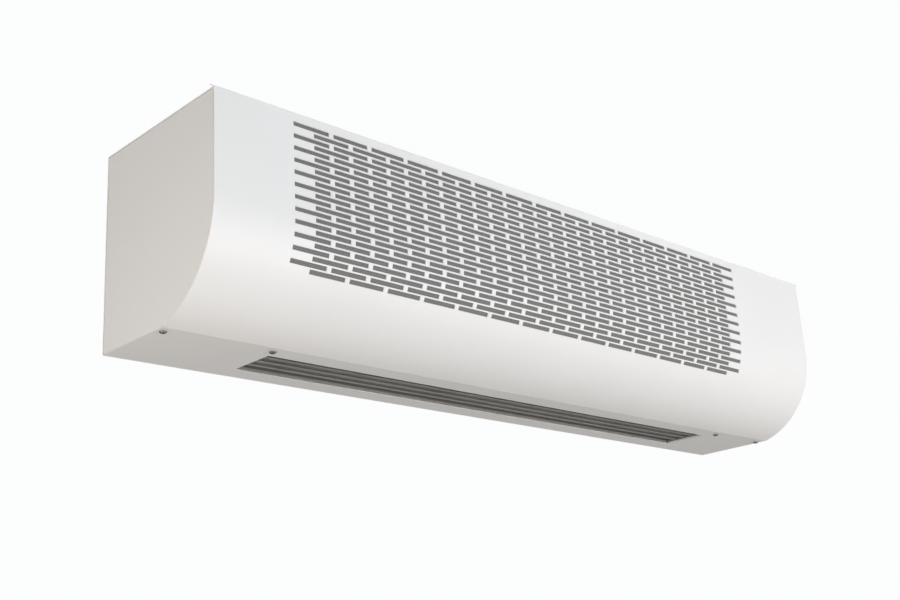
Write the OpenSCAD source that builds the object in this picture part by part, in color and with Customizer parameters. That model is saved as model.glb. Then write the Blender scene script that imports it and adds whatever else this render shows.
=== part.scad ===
// Air curtain for wall mounting above a doorway: a folded sheet steel case with a curved, slotted
// front cover, a tangential fan wheel driven by an end motor, electric heating rods and a downward
// outlet with fixed guide vanes.
// The wall is the plane y = 0 and the room is on the -Y side. X runs along the curtain, its left
// end seen from the room at -X. The origin is the centre of the wall bracket holes on the wall.

/* [Body] */
// Length of the case
body_w = 1066; // [980:1:1400]
// Height of the case, from the bottom panel to the top flange of the cover
body_h = 230; // [222:1:260]
// Depth of the case, without the wall brackets
body_d = 209; // [203:1:240]
// Outer radius of the curved lower front
arc_r = 118; // [112:1:124]
// Distance from the front plane back to the crease where the curve meets the underside
crease_d = 90; // [86:1:94]
// Thickness of all the sheet steel
sheet_t = 1.2; // [1:0.1:1.5]
// Depth of the folded rims of the end plates
rim_w = 14; // [13:0.5:18]
// Depth of the folded flanges along the panels
flange_w = 15; // [12:1:18]
// Depth of the top flange of the front cover
cover_top_flange = 34; // [26:1:45]
// Depth of the flange inside the lower edge of the front cover
cover_low_flange = 22; // [18:1:24]
// Distance from the ends of the case to the ends of that top flange
cover_top_inset = 5; // [3:0.5:8]
// Length of the ears by which the front edge of the flange stands out at the ends of the case
cover_ear = 4; // [2:0.5:6]
// Width of the cover's ears
cover_ear_w = 5; // [3:0.5:8]
// Open seam between neighbouring panels
seam = 0.4; // [0.2:0.1:0.6]

/* [Grille] */
// Length of one slot
slot_len = 47.4; // [40:0.1:48]
// Height of one slot
slot_h = 5.1; // [3:0.1:5.4]
// Distance between the slots of a row
slot_pitch = 53.3; // [50:0.1:54]
// Distance between the rows, measured along the sheet
row_pitch = 6.88; // [6.5:0.01:7]
// Number of rows, of which every second one is shifted by half a pitch
slot_rows = 24; // [12:1:24]
// Number of slots in the unshifted rows
row_slots = 15; // [10:1:15]
// Distance from the left end of the case to the middle of the first slot
grille_left = 121.5; // [110:0.5:135]
// Distance from the top of the case to the middle of the first row
grille_top = 13.4; // [11:0.1:16]
// Thickness of the wire mesh behind the slots
mesh_t = 0.8; // [0.6:0.1:1.2]
// Width of the mesh beyond the slots
mesh_border = 8; // [5:0.5:10]

/* [Outlet] */
// Distance from the left end of the case to the outlet
outlet_left = 148.5; // [144:0.5:160]
// Distance from the outlet to the right end of the case
outlet_right = 127.5; // [124:0.5:150]
// Distance from the front plane back to the outlet
outlet_front = 119; // [118:0.5:121]
// Width of the outlet from front to back
outlet_w = 63; // [61:0.5:64]
// Height of the lip folded up along the front and the ends of the outlet
outlet_lip = 3; // [2.5:0.5:8]
// Number of guide vanes
vane_count = 3; // [2:1:4]
// Height of a guide vane
vane_h = 20; // [14:1:24]
// Thickness of a guide vane
vane_t = 1.4; // [1.2:0.1:2]
// Radius of the rounded bead along the lower edge of a vane
vane_bead_r = 1.6; // [1.2:0.1:2]
// Distance from the underside up to the lower edge of the vanes
vane_rise = 2.5; // [2:0.5:5]

/* [Fan] */
// Diameter over the blades of the fan wheel
wheel_d = 100; // [96:1:102]
// Diameter inside the ring of blades
wheel_inner_d = 76; // [72:1:78]
// Height of the fan axis above the underside
axis_h = 135; // [130:1:138]
// Number of blades
blade_count = 28; // [20:1:32]
// Radius of the curve of a blade
blade_r = 10; // [9.5:0.1:10.5]
// Thickness of a blade
blade_t = 0.9; // [0.7:0.1:1.2]
// Distance from the edge of the wheel in to the middle of a blade's curve
blade_set = 9; // [8.5:0.1:9.5]
// Number of lengths that the rings divide the wheel into
wheel_sections = 8; // [4:1:10]
// Thickness of the rings and end discs of the wheel
ring_t = 1.5; // [1.2:0.1:2]
// Height of the rings above the blades
ring_rise = 1; // [0.8:0.1:1.5]
// Width of the rings inside the blades
ring_inner_w = 3; // [2:0.5:5]
// Free length between the wheel and each side wall
wheel_end_gap = 4; // [3:0.5:6]
// Radius of the curved back of the scroll
scroll_r = 62; // [60:0.5:64]
// Gap between the wheel and the top of the scroll
scroll_top_gap = 4; // [3:0.5:5]
// Gap between the wheel and the edge plate in front of the outlet
edge_gap = 5; // [4:0.5:7]
// Angle over which the edge plate follows the wheel
edge_angle = 42; // [30:1:50]
// Length of the shelf in front of the edge plate
shelf_l = 34; // [25:1:38]
// Length of the scroll's level lip over the wheel
scroll_lip = 24; // [18:1:30]
// Length of the scroll's foot behind the outlet
scroll_foot = 7; // [5:0.5:7]
// Gap between the walls of the duct and the cover
duct_cover_gap = 6; // [4:0.5:10]
// Gap between the sheets of the duct and the flanges of the panels
duct_gap = 1; // [0.5:0.1:1.3]

/* [Motor and bearing] */
// Diameter of the motor shaft and of the stub shaft
shaft_d = 8; // [6:0.5:10]
// Running clearance on the radius of the shafts
running_gap = 0.05; // [0.02:0.01:0.09]
// Diameter of the motor housing
motor_d = 86; // [80:1:90]
// Length of the motor housing
motor_l = 70; // [60:1:74]
// Wall of the motor housing
motor_wall = 3; // [2:0.5:4]
// Distance from the left side wall to the motor housing
motor_off = 26; // [24:1:30]
// Diameter of the bosses at the ends of the motor
boss_d = 22; // [20:1:26]
// Length of the motor bosses
boss_l = 11; // [11:0.5:12]
// Number of vents in each end of the motor
vent_count = 12; // [8:1:14]
// Radius of a vent
vent_r = 3.2; // [2.5:0.1:4]
// Distance from the axis to the vents, as a share of the motor's radius
vent_place = 0.62; // [0.58:0.01:0.7]
// Length of the motor shaft beyond the left boss
shaft_tail = 3; // [1:0.5:6]
// Distance from the end of the hub back to the end of the motor shaft
shaft_short = 3; // [1:0.5:6]
// Diameter of the motor's rotor
rotor_d = 46; // [40:1:50]
// Air gap between the rotor and the stator
air_gap = 0.5; // [0.4:0.1:0.8]
// Thickness of the rubber round the motor bosses
ring_rubber = 4; // [3:0.5:5]
// Depth of the groove round a rubber
groove_d = 1.5; // [1:0.1:2]
// Length by which a rubber is shorter than its boss
rubber_short = 2; // [1:0.5:3]
// Thickness of the motor bracket's steel
bracket_t = 2; // [1.5:0.1:2.5]
// Width of the upright arms of the motor bracket
arm_w = 46; // [42:1:50]
// Height above the underside at which the arms begin
arm_z0 = 40.5; // [36:0.5:45]
// Height of the wide lower part of the motor bracket
cradle_h = 54; // [48:1:60]
// Gap between the cover's lower flange and the foot of the motor bracket
foot_gap = 2; // [1.5:0.5:4]
// Length of the foot behind the arms
foot_back = 8; // [6:1:12]
// Distance from the arms in to the studs of the foot
foot_stud_inset = 12; // [10:1:16]
// Distance from the front and back of the foot in to its studs
foot_stud_edge = 8; // [6:0.5:10]
// Length of a stud beyond its nut
stud_tail = 3; // [1:0.5:5]
// Diameter of the hub that holds the wheel on the motor shaft
hub_d = 24; // [20:1:26]
// Length of the hub
hub_l = 22; // [18:1:24]
// Width of the flanges that are riveted to the end discs of the wheel
hub_flange_w = 7; // [5:0.5:8]
// Thickness of those flanges
hub_flange_t = 2.5; // [2:0.5:4]
// Clearance round the hub in the left side wall
hub_clear = 4; // [3:0.5:6]
// Diameter of the bearing bush
bush_d = 18; // [16:0.5:20]
// Length of the bearing bush
bush_l = 16; // [14:1:18]
// Distance that the bush stands into the duct
bush_inset = 2; // [1:0.5:2.5]
// Length of the stub shaft beyond the bush
stub_tail = 4; // [2:0.5:6]
// Diameter over the rubber holder of the bush
holder_d = 40; // [36:1:44]
// Depth of the groove round the holder
holder_groove = 3; // [2:0.5:4]
// Wall of the holder
holder_wall = 4; // [3:0.5:5]

/* [Heater] */
// Number of heating rods
rod_count = 3; // [2:1:3]
// Diameter of the steel sheath of a rod
rod_d = 8.5; // [7:0.5:10]
// Distance between the rods
rod_pitch = 40; // [36:1:42]
// Diameter of the fins on a rod
fin_d = 26; // [20:1:28]
// Distance between the fins
fin_pitch = 8; // [6:0.5:10]
// Thickness of a fin
fin_t = 0.6; // [0.5:0.1:0.8]
// Length without fins at each end of a rod inside the duct
fin_margin = 18; // [14:1:30]
// Distance from the front plane to the rods
rod_back = 34; // [32:1:36]
// Height of the middle of the rods above the fan axis
rod_rise = 14; // [12:1:16]
// Length of a rod beyond the side walls
rod_tail = 26; // [22:1:30]
// Wall of the ceramic bushes of the rods
insulator_wall = 3.5; // [3:0.5:5]
// Width of their flanges
insulator_flange_w = 3; // [2:0.5:4]
// Thickness of their flanges
insulator_flange_t = 5; // [4:0.5:7]
// Length of the bushes inside the duct
insulator_neck_l = 6; // [4:0.5:8]
// Length of the threaded pins at the ends of the rods
terminal_pin_l = 11; // [9:0.5:14]
// Diameter of the overheat switch
switch_d = 18; // [16:1:20]
// Length of the overheat switch without its tabs
switch_l = 8; // [6:1:10]
// Distance from the fan axis forward to the switch
switch_front = 55; // [50:1:60]
// Distance from the top panel down to the middle of the switch
switch_down = 24; // [20:1:30]

/* [Electrics] */
// Length of the circuit board
board_l = 92; // [80:1:96]
// Height of the circuit board
board_h = 70; // [60:1:76]
// Thickness of the circuit board
board_t = 1.6; // [1:0.1:2]
// Distance from the fan axis down to the lower edge of the board
board_low = 10; // [6:1:14]
// Length of the spacers behind the board
spacer_l = 10; // [8:1:12]
// Radius of a spacer
spacer_r = 3; // [2.5:0.5:4]
// Distance from the edges of the board in to the spacers
spacer_inset = 5; // [4:0.5:7]
// Diameter of the motor's capacitor
capacitor_d = 30; // [26:1:34]
// Length of the motor's capacitor
capacitor_l = 58; // [50:1:62]
// Distance from the fan axis back to the capacitor
capacitor_back = 18; // [14:1:22]
// Gap between the capacitor and the foot of the side wall
capacitor_gap = 1; // [0.5:0.5:3]
// Thickness of the capacitor's clip
clip_t = 1.2; // [0.8:0.1:1.5]
// Height of the band of the clip
clip_h = 12; // [10:1:14]
// Height of the clip above the bottom panel
clip_rise = 26.1; // [20:0.1:30]
// Number of poles of the terminal block
pole_count = 6; // [4:1:6]
// Distance between the poles
pole_pitch = 12; // [10:0.5:13]
// Height of the terminal block
block_h = 22; // [18:1:26]
// Depth of the terminal block
block_depth = 20; // [16:1:24]
// Distance from the board down to the lower edge of the block
block_low = 48; // [44:1:60]
// Radius of the cable passage in the gland
gland_bore_r = 5; // [4:0.5:6]
// Wall of the gland's threaded tube
gland_wall = 3; // [2.5:0.5:4]
// Width of the gland's hexagon round the tube
gland_hex_w = 4; // [3:0.5:5]
// Width of the gland's collar round the tube
gland_collar_w = 1.5; // [1:0.5:2.5]
// Height of the gland above the top panel
gland_up = 14; // [12:1:18]
// Length of the gland below the top panel
gland_down = 9; // [7:1:11]
// Thickness of the gland's nut
gland_nut_t = 5; // [4:0.5:6]
// Distance from the right end of the case to the gland
gland_inset = 46; // [42:1:60]
// Distance from the rear panel forward to the gland
gland_front = 42; // [40:1:50]
// Distance from the right end of the case to the earth bolt
earth_inset = 40; // [36:1:50]
// Diameter of the earth bolt
earth_d = 5; // [4:0.5:6]
// Length of the earth bolt
earth_l = 14; // [12:1:20]

/* [Wall brackets] */
// Height of the middle of the wall holes above the underside
hole_h = 160; // [155:1:165]
// Distance between the two brackets
bracket_span = 600; // [500:1:700]
// Width of a wall bracket
bracket_w = 50; // [44:1:60]
// Height of a wall bracket's plate
bracket_plate_h = 60; // [56:1:64]
// Thickness of the wall brackets
hook_t = 2; // [1.6:0.1:2.5]
// Width of the hook of a bracket
hook_w = 30; // [26:1:36]
// Height of the upright end of the hook
hook_rise = 14; // [10:1:16]
// Play between the hook and the rear panel
hook_play = 0.5; // [0.3:0.1:0.8]
// Play round the hook in the slot of the rear panel
hook_slot_play = 3; // [2:0.5:5]
// Distance between the two screw holes of a bracket
hole_pitch = 30; // [26:1:34]
// Diameter of the wall screw holes
wall_hole_d = 6.5; // [5:0.5:8]

/* [Fasteners] */
// Diameter of the case screws
screw_d = 4; // [3:0.5:5]
// Diameter of their pan heads
screw_head_d = 8; // [7:0.5:9]
// Height of their pan heads
screw_head_h = 2.4; // [2:0.1:3]
// Length of the case screws below the head
screw_l = 9; // [8:1:12]
// Clearance on the radius round a screw
screw_play = 0.2; // [0.1:0.05:0.4]
// Distance from the ends of the case to the corner screws
corner_screw = 8.3; // [7:0.1:9]
// Distance from the left end of the outlet to the nearer inner screw
inner_screw_left = 6; // [5:0.5:8]
// Distance from the right end of the outlet to the nearer inner screw
inner_screw_right = 14; // [8:0.5:18]
// Distance from the crease back to the bottom screws
screw_back = 13; // [11:0.5:14]
// Distance from the ends of the case to the top screws
top_screw = 20; // [17:0.5:26]

/* [Hidden] */
$fn = 96;
eps = 0.01;
wall_gap = hook_t + hook_play;
left_x = -body_w / 2;
right_x = body_w / 2;
back_y = -wall_gap;
front_y = back_y - body_d;
crease_y = front_y + crease_d;
arc_y = front_y + arc_r;
arc_z = sqrt(pow(arc_r, 2) - pow(arc_r - crease_d, 2));
inner_top = body_h - 2 * sheet_t;
inner_back = back_y - sheet_t;
panel_front = front_y + sheet_t + seam;
flange_front = inner_back - flange_w;

outlet_x0 = left_x + outlet_left;
outlet_x1 = right_x - outlet_right;
outlet_l = outlet_x1 - outlet_x0;
outlet_y0 = front_y + outlet_front;
outlet_y1 = outlet_y0 + outlet_w;

// The air duct stands round the lips of the outlet
duct_x0 = outlet_x0 - sheet_t;
duct_x1 = outlet_x1 + sheet_t;
duct_l = duct_x1 - duct_x0;
duct_y0 = outlet_y0 - sheet_t;
duct_y1 = outlet_y1 + sheet_t;
left_wall_x = duct_x0 - sheet_t;
right_wall_x = duct_x1 + sheet_t;

axis_y = duct_y1 - scroll_r;
wheel_r = wheel_d / 2;
ring_r = wheel_r + ring_rise;
wheel_x0 = outlet_x0 + wheel_end_gap;
wheel_x1 = outlet_x1 - wheel_end_gap;
wheel_l = wheel_x1 - wheel_x0;
scroll_z = axis_h + ring_r + scroll_top_gap - scroll_r;
scroll_top_z = scroll_z + scroll_r;
closure_y = axis_y - scroll_lip;
edge_r = ring_r + edge_gap;

shaft_r = shaft_d / 2;
shaft_bore_r = shaft_r + running_gap;
hub_r = hub_d / 2;
hub_flange_r = hub_r + hub_flange_w;
bush_r = bush_d / 2;
bush_x0 = duct_x1 - bush_inset;
bush_x1 = bush_x0 + bush_l;
holder_r = holder_d / 2;
holder_neck_r = holder_r - holder_groove;

motor_r = motor_d / 2;
motor_x1 = left_wall_x - motor_off;
motor_x0 = motor_x1 - motor_l;
boss_r = boss_d / 2;
rubber_r = boss_r + ring_rubber;
rubber_groove_r = rubber_r - groove_d;
rubber_l = boss_l - rubber_short;
core_l = motor_l / 2;
motor_mid_x = (motor_x0 + motor_x1) / 2;
arm_xs = [motor_x0 - boss_l / 2, motor_x1 + boss_l / 2];
foot_y0 = crease_y + cover_low_flange + foot_gap;
foot_y1 = axis_y + arm_w / 2 + foot_back;
foot_stud_xs = [arm_xs[0] + foot_stud_inset, arm_xs[1] - foot_stud_inset];
foot_stud_ys = [foot_y0 + foot_stud_edge, foot_y1 - foot_stud_edge];

rod_r = rod_d / 2;
rod_y = front_y + rod_back;
rod_zs = [for (i = [0:rod_count - 1]) axis_h + rod_rise + (i - (rod_count - 1) / 2) * rod_pitch];
rod_x0 = left_wall_x - rod_tail;
rod_x1 = right_wall_x + rod_tail;
insulator_r = rod_r + insulator_wall;
insulator_flange_r = insulator_r + insulator_flange_w;

gland_x = right_x - gland_inset;
gland_y = inner_back - gland_front;
gland_thread_r = gland_bore_r + gland_wall;
gland_body_r = gland_thread_r + gland_hex_w;

board_mid_x = (right_wall_x + right_x - sheet_t) / 2;
board_z0 = axis_h - board_low;
board_y1 = inner_back - spacer_l;
board_y0 = board_y1 - board_t;

block_z0 = board_z0 - block_low;
block_l = pole_count * pole_pitch;

capacitor_r = capacitor_d / 2;
capacitor_x = duct_x1 + flange_w + capacitor_r + capacitor_gap;
capacitor_y = axis_y + capacitor_back;
clip_z = sheet_t + clip_rise;

screw_r = screw_d / 2;
screw_hole_r = screw_r + screw_play;
bottom_screw_y = crease_y + screw_back;
bottom_screw_xs = [
  left_x + corner_screw, outlet_x0 - inner_screw_left,
  outlet_x1 + inner_screw_right, right_x - corner_screw
];
top_screw_xs = [left_x + top_screw, right_x - top_screw];
top_screw_y = front_y + cover_top_flange / 2;
nut_af = screw_d * 1.75;
nut_h = screw_d * 0.8;

hook_top_z = hole_h + bracket_plate_h / 2;
hook_slot_h = hook_rise + hook_t + hook_slot_play;
hook_slot_w = hook_w + 2 * hook_slot_play;

// ---- helpers: the frame and profiles in the YZ plane ----

// Moves a piece drawn from the underside up into the frame of the wall holes
module hang() {
  translate([0, 0, -hole_h]) children();
}

// Extrudes a profile, drawn as (y, z), along X from x0 over a length
module along_x(x0, length) {
  translate([x0, 0, 0]) rotate([90, 0, 90]) linear_extrude(length) children();
}

// A rectangle between two corners of the (y, z) plane
module plate2d(low, high) {
  translate(low) square(high - low);
}

// The outline of the case seen from its end, drawn in by one distance at the front sheet, one at
// the back and underside, and one at the top
module case_profile(front, rest, top) {
  difference() {
    plate2d([front_y + front, rest], [back_y - rest, body_h - top]);
    difference() {
      plate2d([front_y - 1, -1], [arc_y, arc_z]);
      translate([arc_y, arc_z]) circle(arc_r - front);
    }
  }
}

// The ring of sheet that follows the outline of the case
module case_skin() {
  difference() {
    case_profile(0, 0, 0);
    case_profile(sheet_t, sheet_t, sheet_t);
  }
}

// A folded sheet lying flat along X: from y0 to y1, its underside at height z
module flange(x0, x1, y0, y1, z) {
  translate([x0, y0, z]) cube([x1 - x0, y1 - y0, sheet_t]);
}

// A round hole or rod along Z through the sheets at the underside or the top
module drill_z(x, y, z0, z1, r) {
  translate([x, y, z0]) cylinder(h = z1 - z0, r = r);
}

// A round rod along X
module rod_x(x0, x1, y, z, r) {
  translate([x0, y, z]) rotate([0, 90, 0]) cylinder(h = x1 - x0, r = r);
}

// A pan head screw pointing up, its head under the origin
module pan_screw(length) {
  head_edge = screw_head_h / 3;
  rotate_extrude()
    polygon([
      [0, -screw_head_h], [screw_head_d / 2 - head_edge, -screw_head_h],
      [screw_head_d / 2, -screw_head_h + head_edge], [screw_head_d / 2, 0],
      [screw_r, 0], [screw_r, length - screw_r / 2], [screw_r / 2, length], [0, length]
    ]);
}

// The cross cut in a pan head
module cross_recess() {
  recess_l = screw_head_d * 0.55;
  recess_w = screw_head_d * 0.14;
  recess_d = screw_head_h * 0.55;
  for (turn = [0, 90])
    rotate(turn)
      translate([-recess_l / 2, -recess_w / 2, -screw_head_h - eps])
        cube([recess_l, recess_w, recess_d + eps]);
}

module case_screw(length) {
  difference() {
    pan_screw(length);
    cross_recess();
  }
}

// ---- the case ----

// Angle on the curve of the cover of a place measured down the sheet from the top
function slot_angle(down) = max(0, down - (body_h - arc_z)) / arc_r * 180 / PI;

// One slot's cutting block, laid against the sheet at a distance down from the top
module slot_cutter(x, down) {
  angle = slot_angle(down);
  flat_z = max(body_h - down, arc_z);
  reach = 4 * sheet_t;
  translate([x, arc_y, flat_z])
    rotate([angle, 0, 0])
      translate([-slot_len / 2, -arc_r - reach / 2, -slot_h / 2])
        cube([slot_len, reach, slot_h]);
}

module grille_slots() {
  for (row = [0:slot_rows - 1]) {
    shifted = row % 2;
    for (i = [0:row_slots - 1 - shifted])
      slot_cutter(
        left_x + grille_left + (i + shifted / 2) * slot_pitch,
        grille_top + row * row_pitch
      );
  }
}

module front_cover() {
  color("whitesmoke") hang()
    difference() {
      union() {
        along_x(left_x, body_w)
          intersection() {
            case_skin();
            plate2d([front_y, 0], [crease_y, body_h - sheet_t]);
          }
        flange(left_x + rim_w + 2 * sheet_t, right_x - rim_w - 2 * sheet_t,
               crease_y - 2 * sheet_t, crease_y + cover_low_flange, sheet_t);
        flange(left_x + cover_top_inset, right_x - cover_top_inset, front_y,
               front_y + cover_top_flange, body_h - sheet_t);
        flange(left_x - cover_ear, right_x + cover_ear, front_y, front_y + cover_ear_w,
               body_h - sheet_t);
      }
      grille_slots();
      for (i = [1, 2])
        drill_z(bottom_screw_xs[i], bottom_screw_y, 0, 3 * sheet_t, screw_hole_r);
      for (x = top_screw_xs)
        drill_z(x, top_screw_y, body_h - 2 * sheet_t, body_h + 1, screw_hole_r);
    }
}

// The fine wire mesh that lies against the inside of the cover behind all the slots, drawn as one
// thin sheet
module intake_screen() {
  screen_x0 = left_x + grille_left - slot_len / 2 - mesh_border;
  screen_l = (row_slots - 1) * slot_pitch + slot_len + 2 * mesh_border;
  first_down = grille_top - slot_h / 2 - mesh_border;
  last_down = grille_top + (slot_rows - 1) * row_pitch + slot_h / 2 + mesh_border;
  screen_z0 = max(body_h - last_down, arc_z) - arc_r * sin(slot_angle(last_down));
  screen_z1 = min(body_h - first_down, inner_top - seam);
  color("gray") hang()
    along_x(screen_x0, screen_l)
      intersection() {
        difference() {
          case_profile(sheet_t, sheet_t, sheet_t);
          case_profile(sheet_t + mesh_t, sheet_t, sheet_t);
        }
        plate2d([front_y, screen_z0], [arc_y, screen_z1]);
      }
}

// The back of the case, whose two slots drop over the hooks of the wall brackets
module rear_panel() {
  rim_clear = rim_w + 2 * sheet_t;
  color("gainsboro") hang()
    difference() {
      union() {
        translate([left_x, inner_back, sheet_t])
          cube([body_w, sheet_t, body_h - 3 * sheet_t]);
        for (z = [sheet_t, body_h - 3 * sheet_t])
          flange(left_x + rim_clear, right_x - rim_clear, flange_front, inner_back + eps, z);
      }
      for (side = [-1, 1])
        translate([side * bracket_span / 2 - hook_slot_w / 2, inner_back - 1, hook_top_z - hook_slot_h])
          cube([hook_slot_w, sheet_t + 2, hook_slot_h]);
    }
}

module top_panel() {
  color("gainsboro") hang()
    difference() {
      flange(left_x, right_x, panel_front, back_y, inner_top);
      for (x = top_screw_xs)
        drill_z(x, top_screw_y, inner_top - 1, body_h, screw_hole_r);
      drill_z(gland_x, gland_y, inner_top - 1, body_h, gland_thread_r + screw_play);
    }
}

module bottom_panel() {
  color("gainsboro") hang()
    difference() {
      union() {
        flange(left_x, right_x, crease_y + seam, back_y, 0);
        translate([outlet_x0 - sheet_t, outlet_y0 - sheet_t, 0])
          cube([outlet_l + 2 * sheet_t, outlet_w + sheet_t, outlet_lip]);
      }
      translate([outlet_x0, outlet_y0, -1])
        cube([outlet_l, outlet_w, outlet_lip + 2]);
      for (x = bottom_screw_xs)
        drill_z(x, bottom_screw_y, -1, 2 * sheet_t, screw_hole_r);
    }
}

// A pressed sheet with a rim folded inwards round its whole edge. It stands on the bottom panel,
// under the top panel and before the rear panel, and the cover goes round its front.
module end_plate(side) {
  plate_x = side < 0 ? left_x : right_x - sheet_t;
  rim_x = side < 0 ? left_x : right_x - rim_w;
  screw_x = side < 0 ? bottom_screw_xs[0] : bottom_screw_xs[3];
  front = sheet_t + seam;
  difference() {
    union() {
      along_x(plate_x, sheet_t) case_profile(front, sheet_t, 2 * sheet_t);
      along_x(rim_x, rim_w)
        difference() {
          case_profile(front, sheet_t, 2 * sheet_t);
          case_profile(front + sheet_t, 2 * sheet_t, 3 * sheet_t);
        }
    }
    drill_z(screw_x, bottom_screw_y, 0, 3 * sheet_t, screw_hole_r);
  }
}

module left_end_plate() {
  color("gainsboro") hang() end_plate(-1);
}

module right_end_plate() {
  color("gainsboro") hang() end_plate(1);
}

// The four screws pushed in from below at the underside
module bottom_screws() {
  color("silver") hang()
    for (x = bottom_screw_xs)
      translate([x, bottom_screw_y, 0]) case_screw(screw_l);
}

// The two screws through the top flange of the cover
module top_screws() {
  color("silver") hang()
    for (x = top_screw_xs)
      translate([x, top_screw_y, body_h]) mirror([0, 0, 1]) case_screw(screw_l);
}

// ---- the outlet ----

module outlet_vanes() {
  vane_gap = outlet_w / (vane_count + 1);
  color("lightgray") hang()
    for (i = [1:vane_count])
      along_x(outlet_x0 + sheet_t, outlet_l - 2 * sheet_t)
        translate([outlet_y0 + i * vane_gap, vane_rise]) {
          translate([0, vane_bead_r]) circle(vane_bead_r);
          plate2d([-vane_t / 2, vane_bead_r], [vane_t / 2, vane_h]);
        }
}

// The end plate that the vanes are riveted to, standing inside the lip of the outlet
module vane_bracket(x) {
  along_x(x, sheet_t)
    plate2d([outlet_y0, vane_rise], [outlet_y1, vane_rise + vane_h]);
}

module vane_bracket_left() {
  color("gray") hang() vane_bracket(outlet_x0);
}

module vane_bracket_right() {
  color("gray") hang() vane_bracket(outlet_x1 - sheet_t);
}

// ---- the air duct ----

// The end wall of the duct, cut out where the flanges of the panels run through
module duct_wall(x, foot_x) {
  difference() {
    union() {
      along_x(x, sheet_t)
        difference() {
          case_profile(duct_cover_gap, sheet_t, 2 * sheet_t);
          plate2d([front_y, 0], [foot_y0 - duct_gap, 2 * sheet_t + duct_gap]);
          plate2d([flange_front - duct_gap, 0], [back_y, 2 * sheet_t + seam]);
          plate2d([flange_front - duct_gap, body_h - 3 * sheet_t - seam], [back_y, body_h]);
        }
      flange(foot_x, foot_x + flange_w, foot_y0, flange_front - duct_gap, sheet_t);
    }
    for (z = rod_zs)
      rod_x(x - 1, x + sheet_t + 1, rod_y, z, insulator_r);
    children();
  }
}

module left_side_wall() {
  color("silver") hang()
    duct_wall(left_wall_x, left_wall_x - flange_w + sheet_t)
      rod_x(left_wall_x - 1, duct_x0 + 1, axis_y, axis_h, hub_r + hub_clear);
}

module right_side_wall() {
  color("silver") hang()
    duct_wall(duct_x1, duct_x1)
      rod_x(duct_x1 - 1, right_wall_x + 1, axis_y, axis_h, holder_neck_r);
}

// The back of the fan: a sheet from the top panel over the wheel, round it and down to the outlet
module scroll_plate() {
  foot_y = min(duct_y1 + sheet_t + scroll_foot, flange_front - duct_gap);
  color("silver") hang()
    along_x(duct_x0, duct_l) {
      plate2d([closure_y - sheet_t, scroll_top_z], [closure_y, inner_top]);
      plate2d([closure_y - sheet_t, scroll_top_z], [axis_y, scroll_top_z + sheet_t]);
      intersection() {
        translate([axis_y, scroll_z])
          difference() {
            circle(scroll_r + sheet_t);
            circle(scroll_r);
          }
        plate2d([axis_y, scroll_z], [axis_y + 2 * scroll_r, scroll_z + 2 * scroll_r]);
      }
      plate2d([duct_y1, sheet_t], [duct_y1 + sheet_t, scroll_z]);
      plate2d([duct_y1, sheet_t], [foot_y, 2 * sheet_t]);
    }
}

// The sheet in front of the outlet whose upper edge follows the wheel and ends in a shelf
module edge_plate() {
  end_angle = 270 - edge_angle;
  mid_r = edge_r + sheet_t / 2;
  end_y = axis_y + mid_r * cos(end_angle);
  end_z = axis_h + mid_r * sin(end_angle);
  far = 3 * edge_r;
  color("silver") hang()
    along_x(duct_x0, duct_l) {
      plate2d([duct_y0 - sheet_t, sheet_t], [duct_y0, axis_h - mid_r]);
      intersection() {
        translate([axis_y, axis_h])
          difference() {
            circle(edge_r + sheet_t);
            circle(edge_r);
            polygon([[0, 0], [far * cos(end_angle), far * sin(end_angle)], [-far, far], [far, far]]);
          }
        plate2d([front_y, 0], [duct_y0, axis_h]);
      }
      plate2d([end_y - shelf_l, end_z - sheet_t / 2], [end_y + sheet_t / 4, end_z + sheet_t / 2]);
    }
}

// ---- the fan wheel and its bearing ----

// The section of one blade: the part of a thin ring between the two radii of the blade ring
module blade2d() {
  intersection() {
    translate([wheel_r - blade_set, 0])
      difference() {
        circle(blade_r);
        circle(blade_r - blade_t);
      }
    difference() {
      circle(wheel_r);
      circle(wheel_inner_d / 2);
    }
    plate2d([0, 0], [2 * wheel_r, wheel_r]);
  }
}

module fan_wheel() {
  ring_gap = (wheel_l - ring_t) / wheel_sections;
  ring_hole_r = wheel_inner_d / 2 - ring_inner_w;
  color("dimgray") hang()
    translate([0, axis_y, axis_h])
      union() {
        along_x(wheel_x0, wheel_l)
          for (i = [0:blade_count - 1])
            rotate(i * 360 / blade_count) blade2d();
        for (i = [0:wheel_sections])
          along_x(wheel_x0 + i * ring_gap, ring_t)
            difference() {
              circle(ring_r);
              circle(i == 0 ? hub_r : i == wheel_sections ? shaft_r : ring_hole_r);
            }
      }
}

// The hub that clamps the wheel on the motor shaft, riveted inside the first end disc
module wheel_hub() {
  color("goldenrod") hang()
    difference() {
      union() {
        rod_x(wheel_x0, wheel_x0 + hub_l, axis_y, axis_h, hub_r);
        rod_x(wheel_x0 + ring_t, wheel_x0 + ring_t + hub_flange_t, axis_y, axis_h, hub_flange_r);
      }
      rod_x(wheel_x0 - 1, wheel_x0 + hub_l + 1, axis_y, axis_h, shaft_r);
    }
}

// The short shaft riveted to the other end disc, running in the bearing bush
module stub_shaft() {
  flange_x1 = wheel_x1 - ring_t;
  color("silver") hang() {
    rod_x(flange_x1 - hub_flange_t, bush_x1 + stub_tail, axis_y, axis_h, shaft_r);
    rod_x(flange_x1 - hub_flange_t, flange_x1, axis_y, axis_h, hub_flange_r);
  }
}

module bearing_bush() {
  color("peru") hang()
    difference() {
      rod_x(bush_x0, bush_x1, axis_y, axis_h, bush_r);
      rod_x(bush_x0 - 1, bush_x1 + 1, axis_y, axis_h, shaft_bore_r);
    }
}

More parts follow.
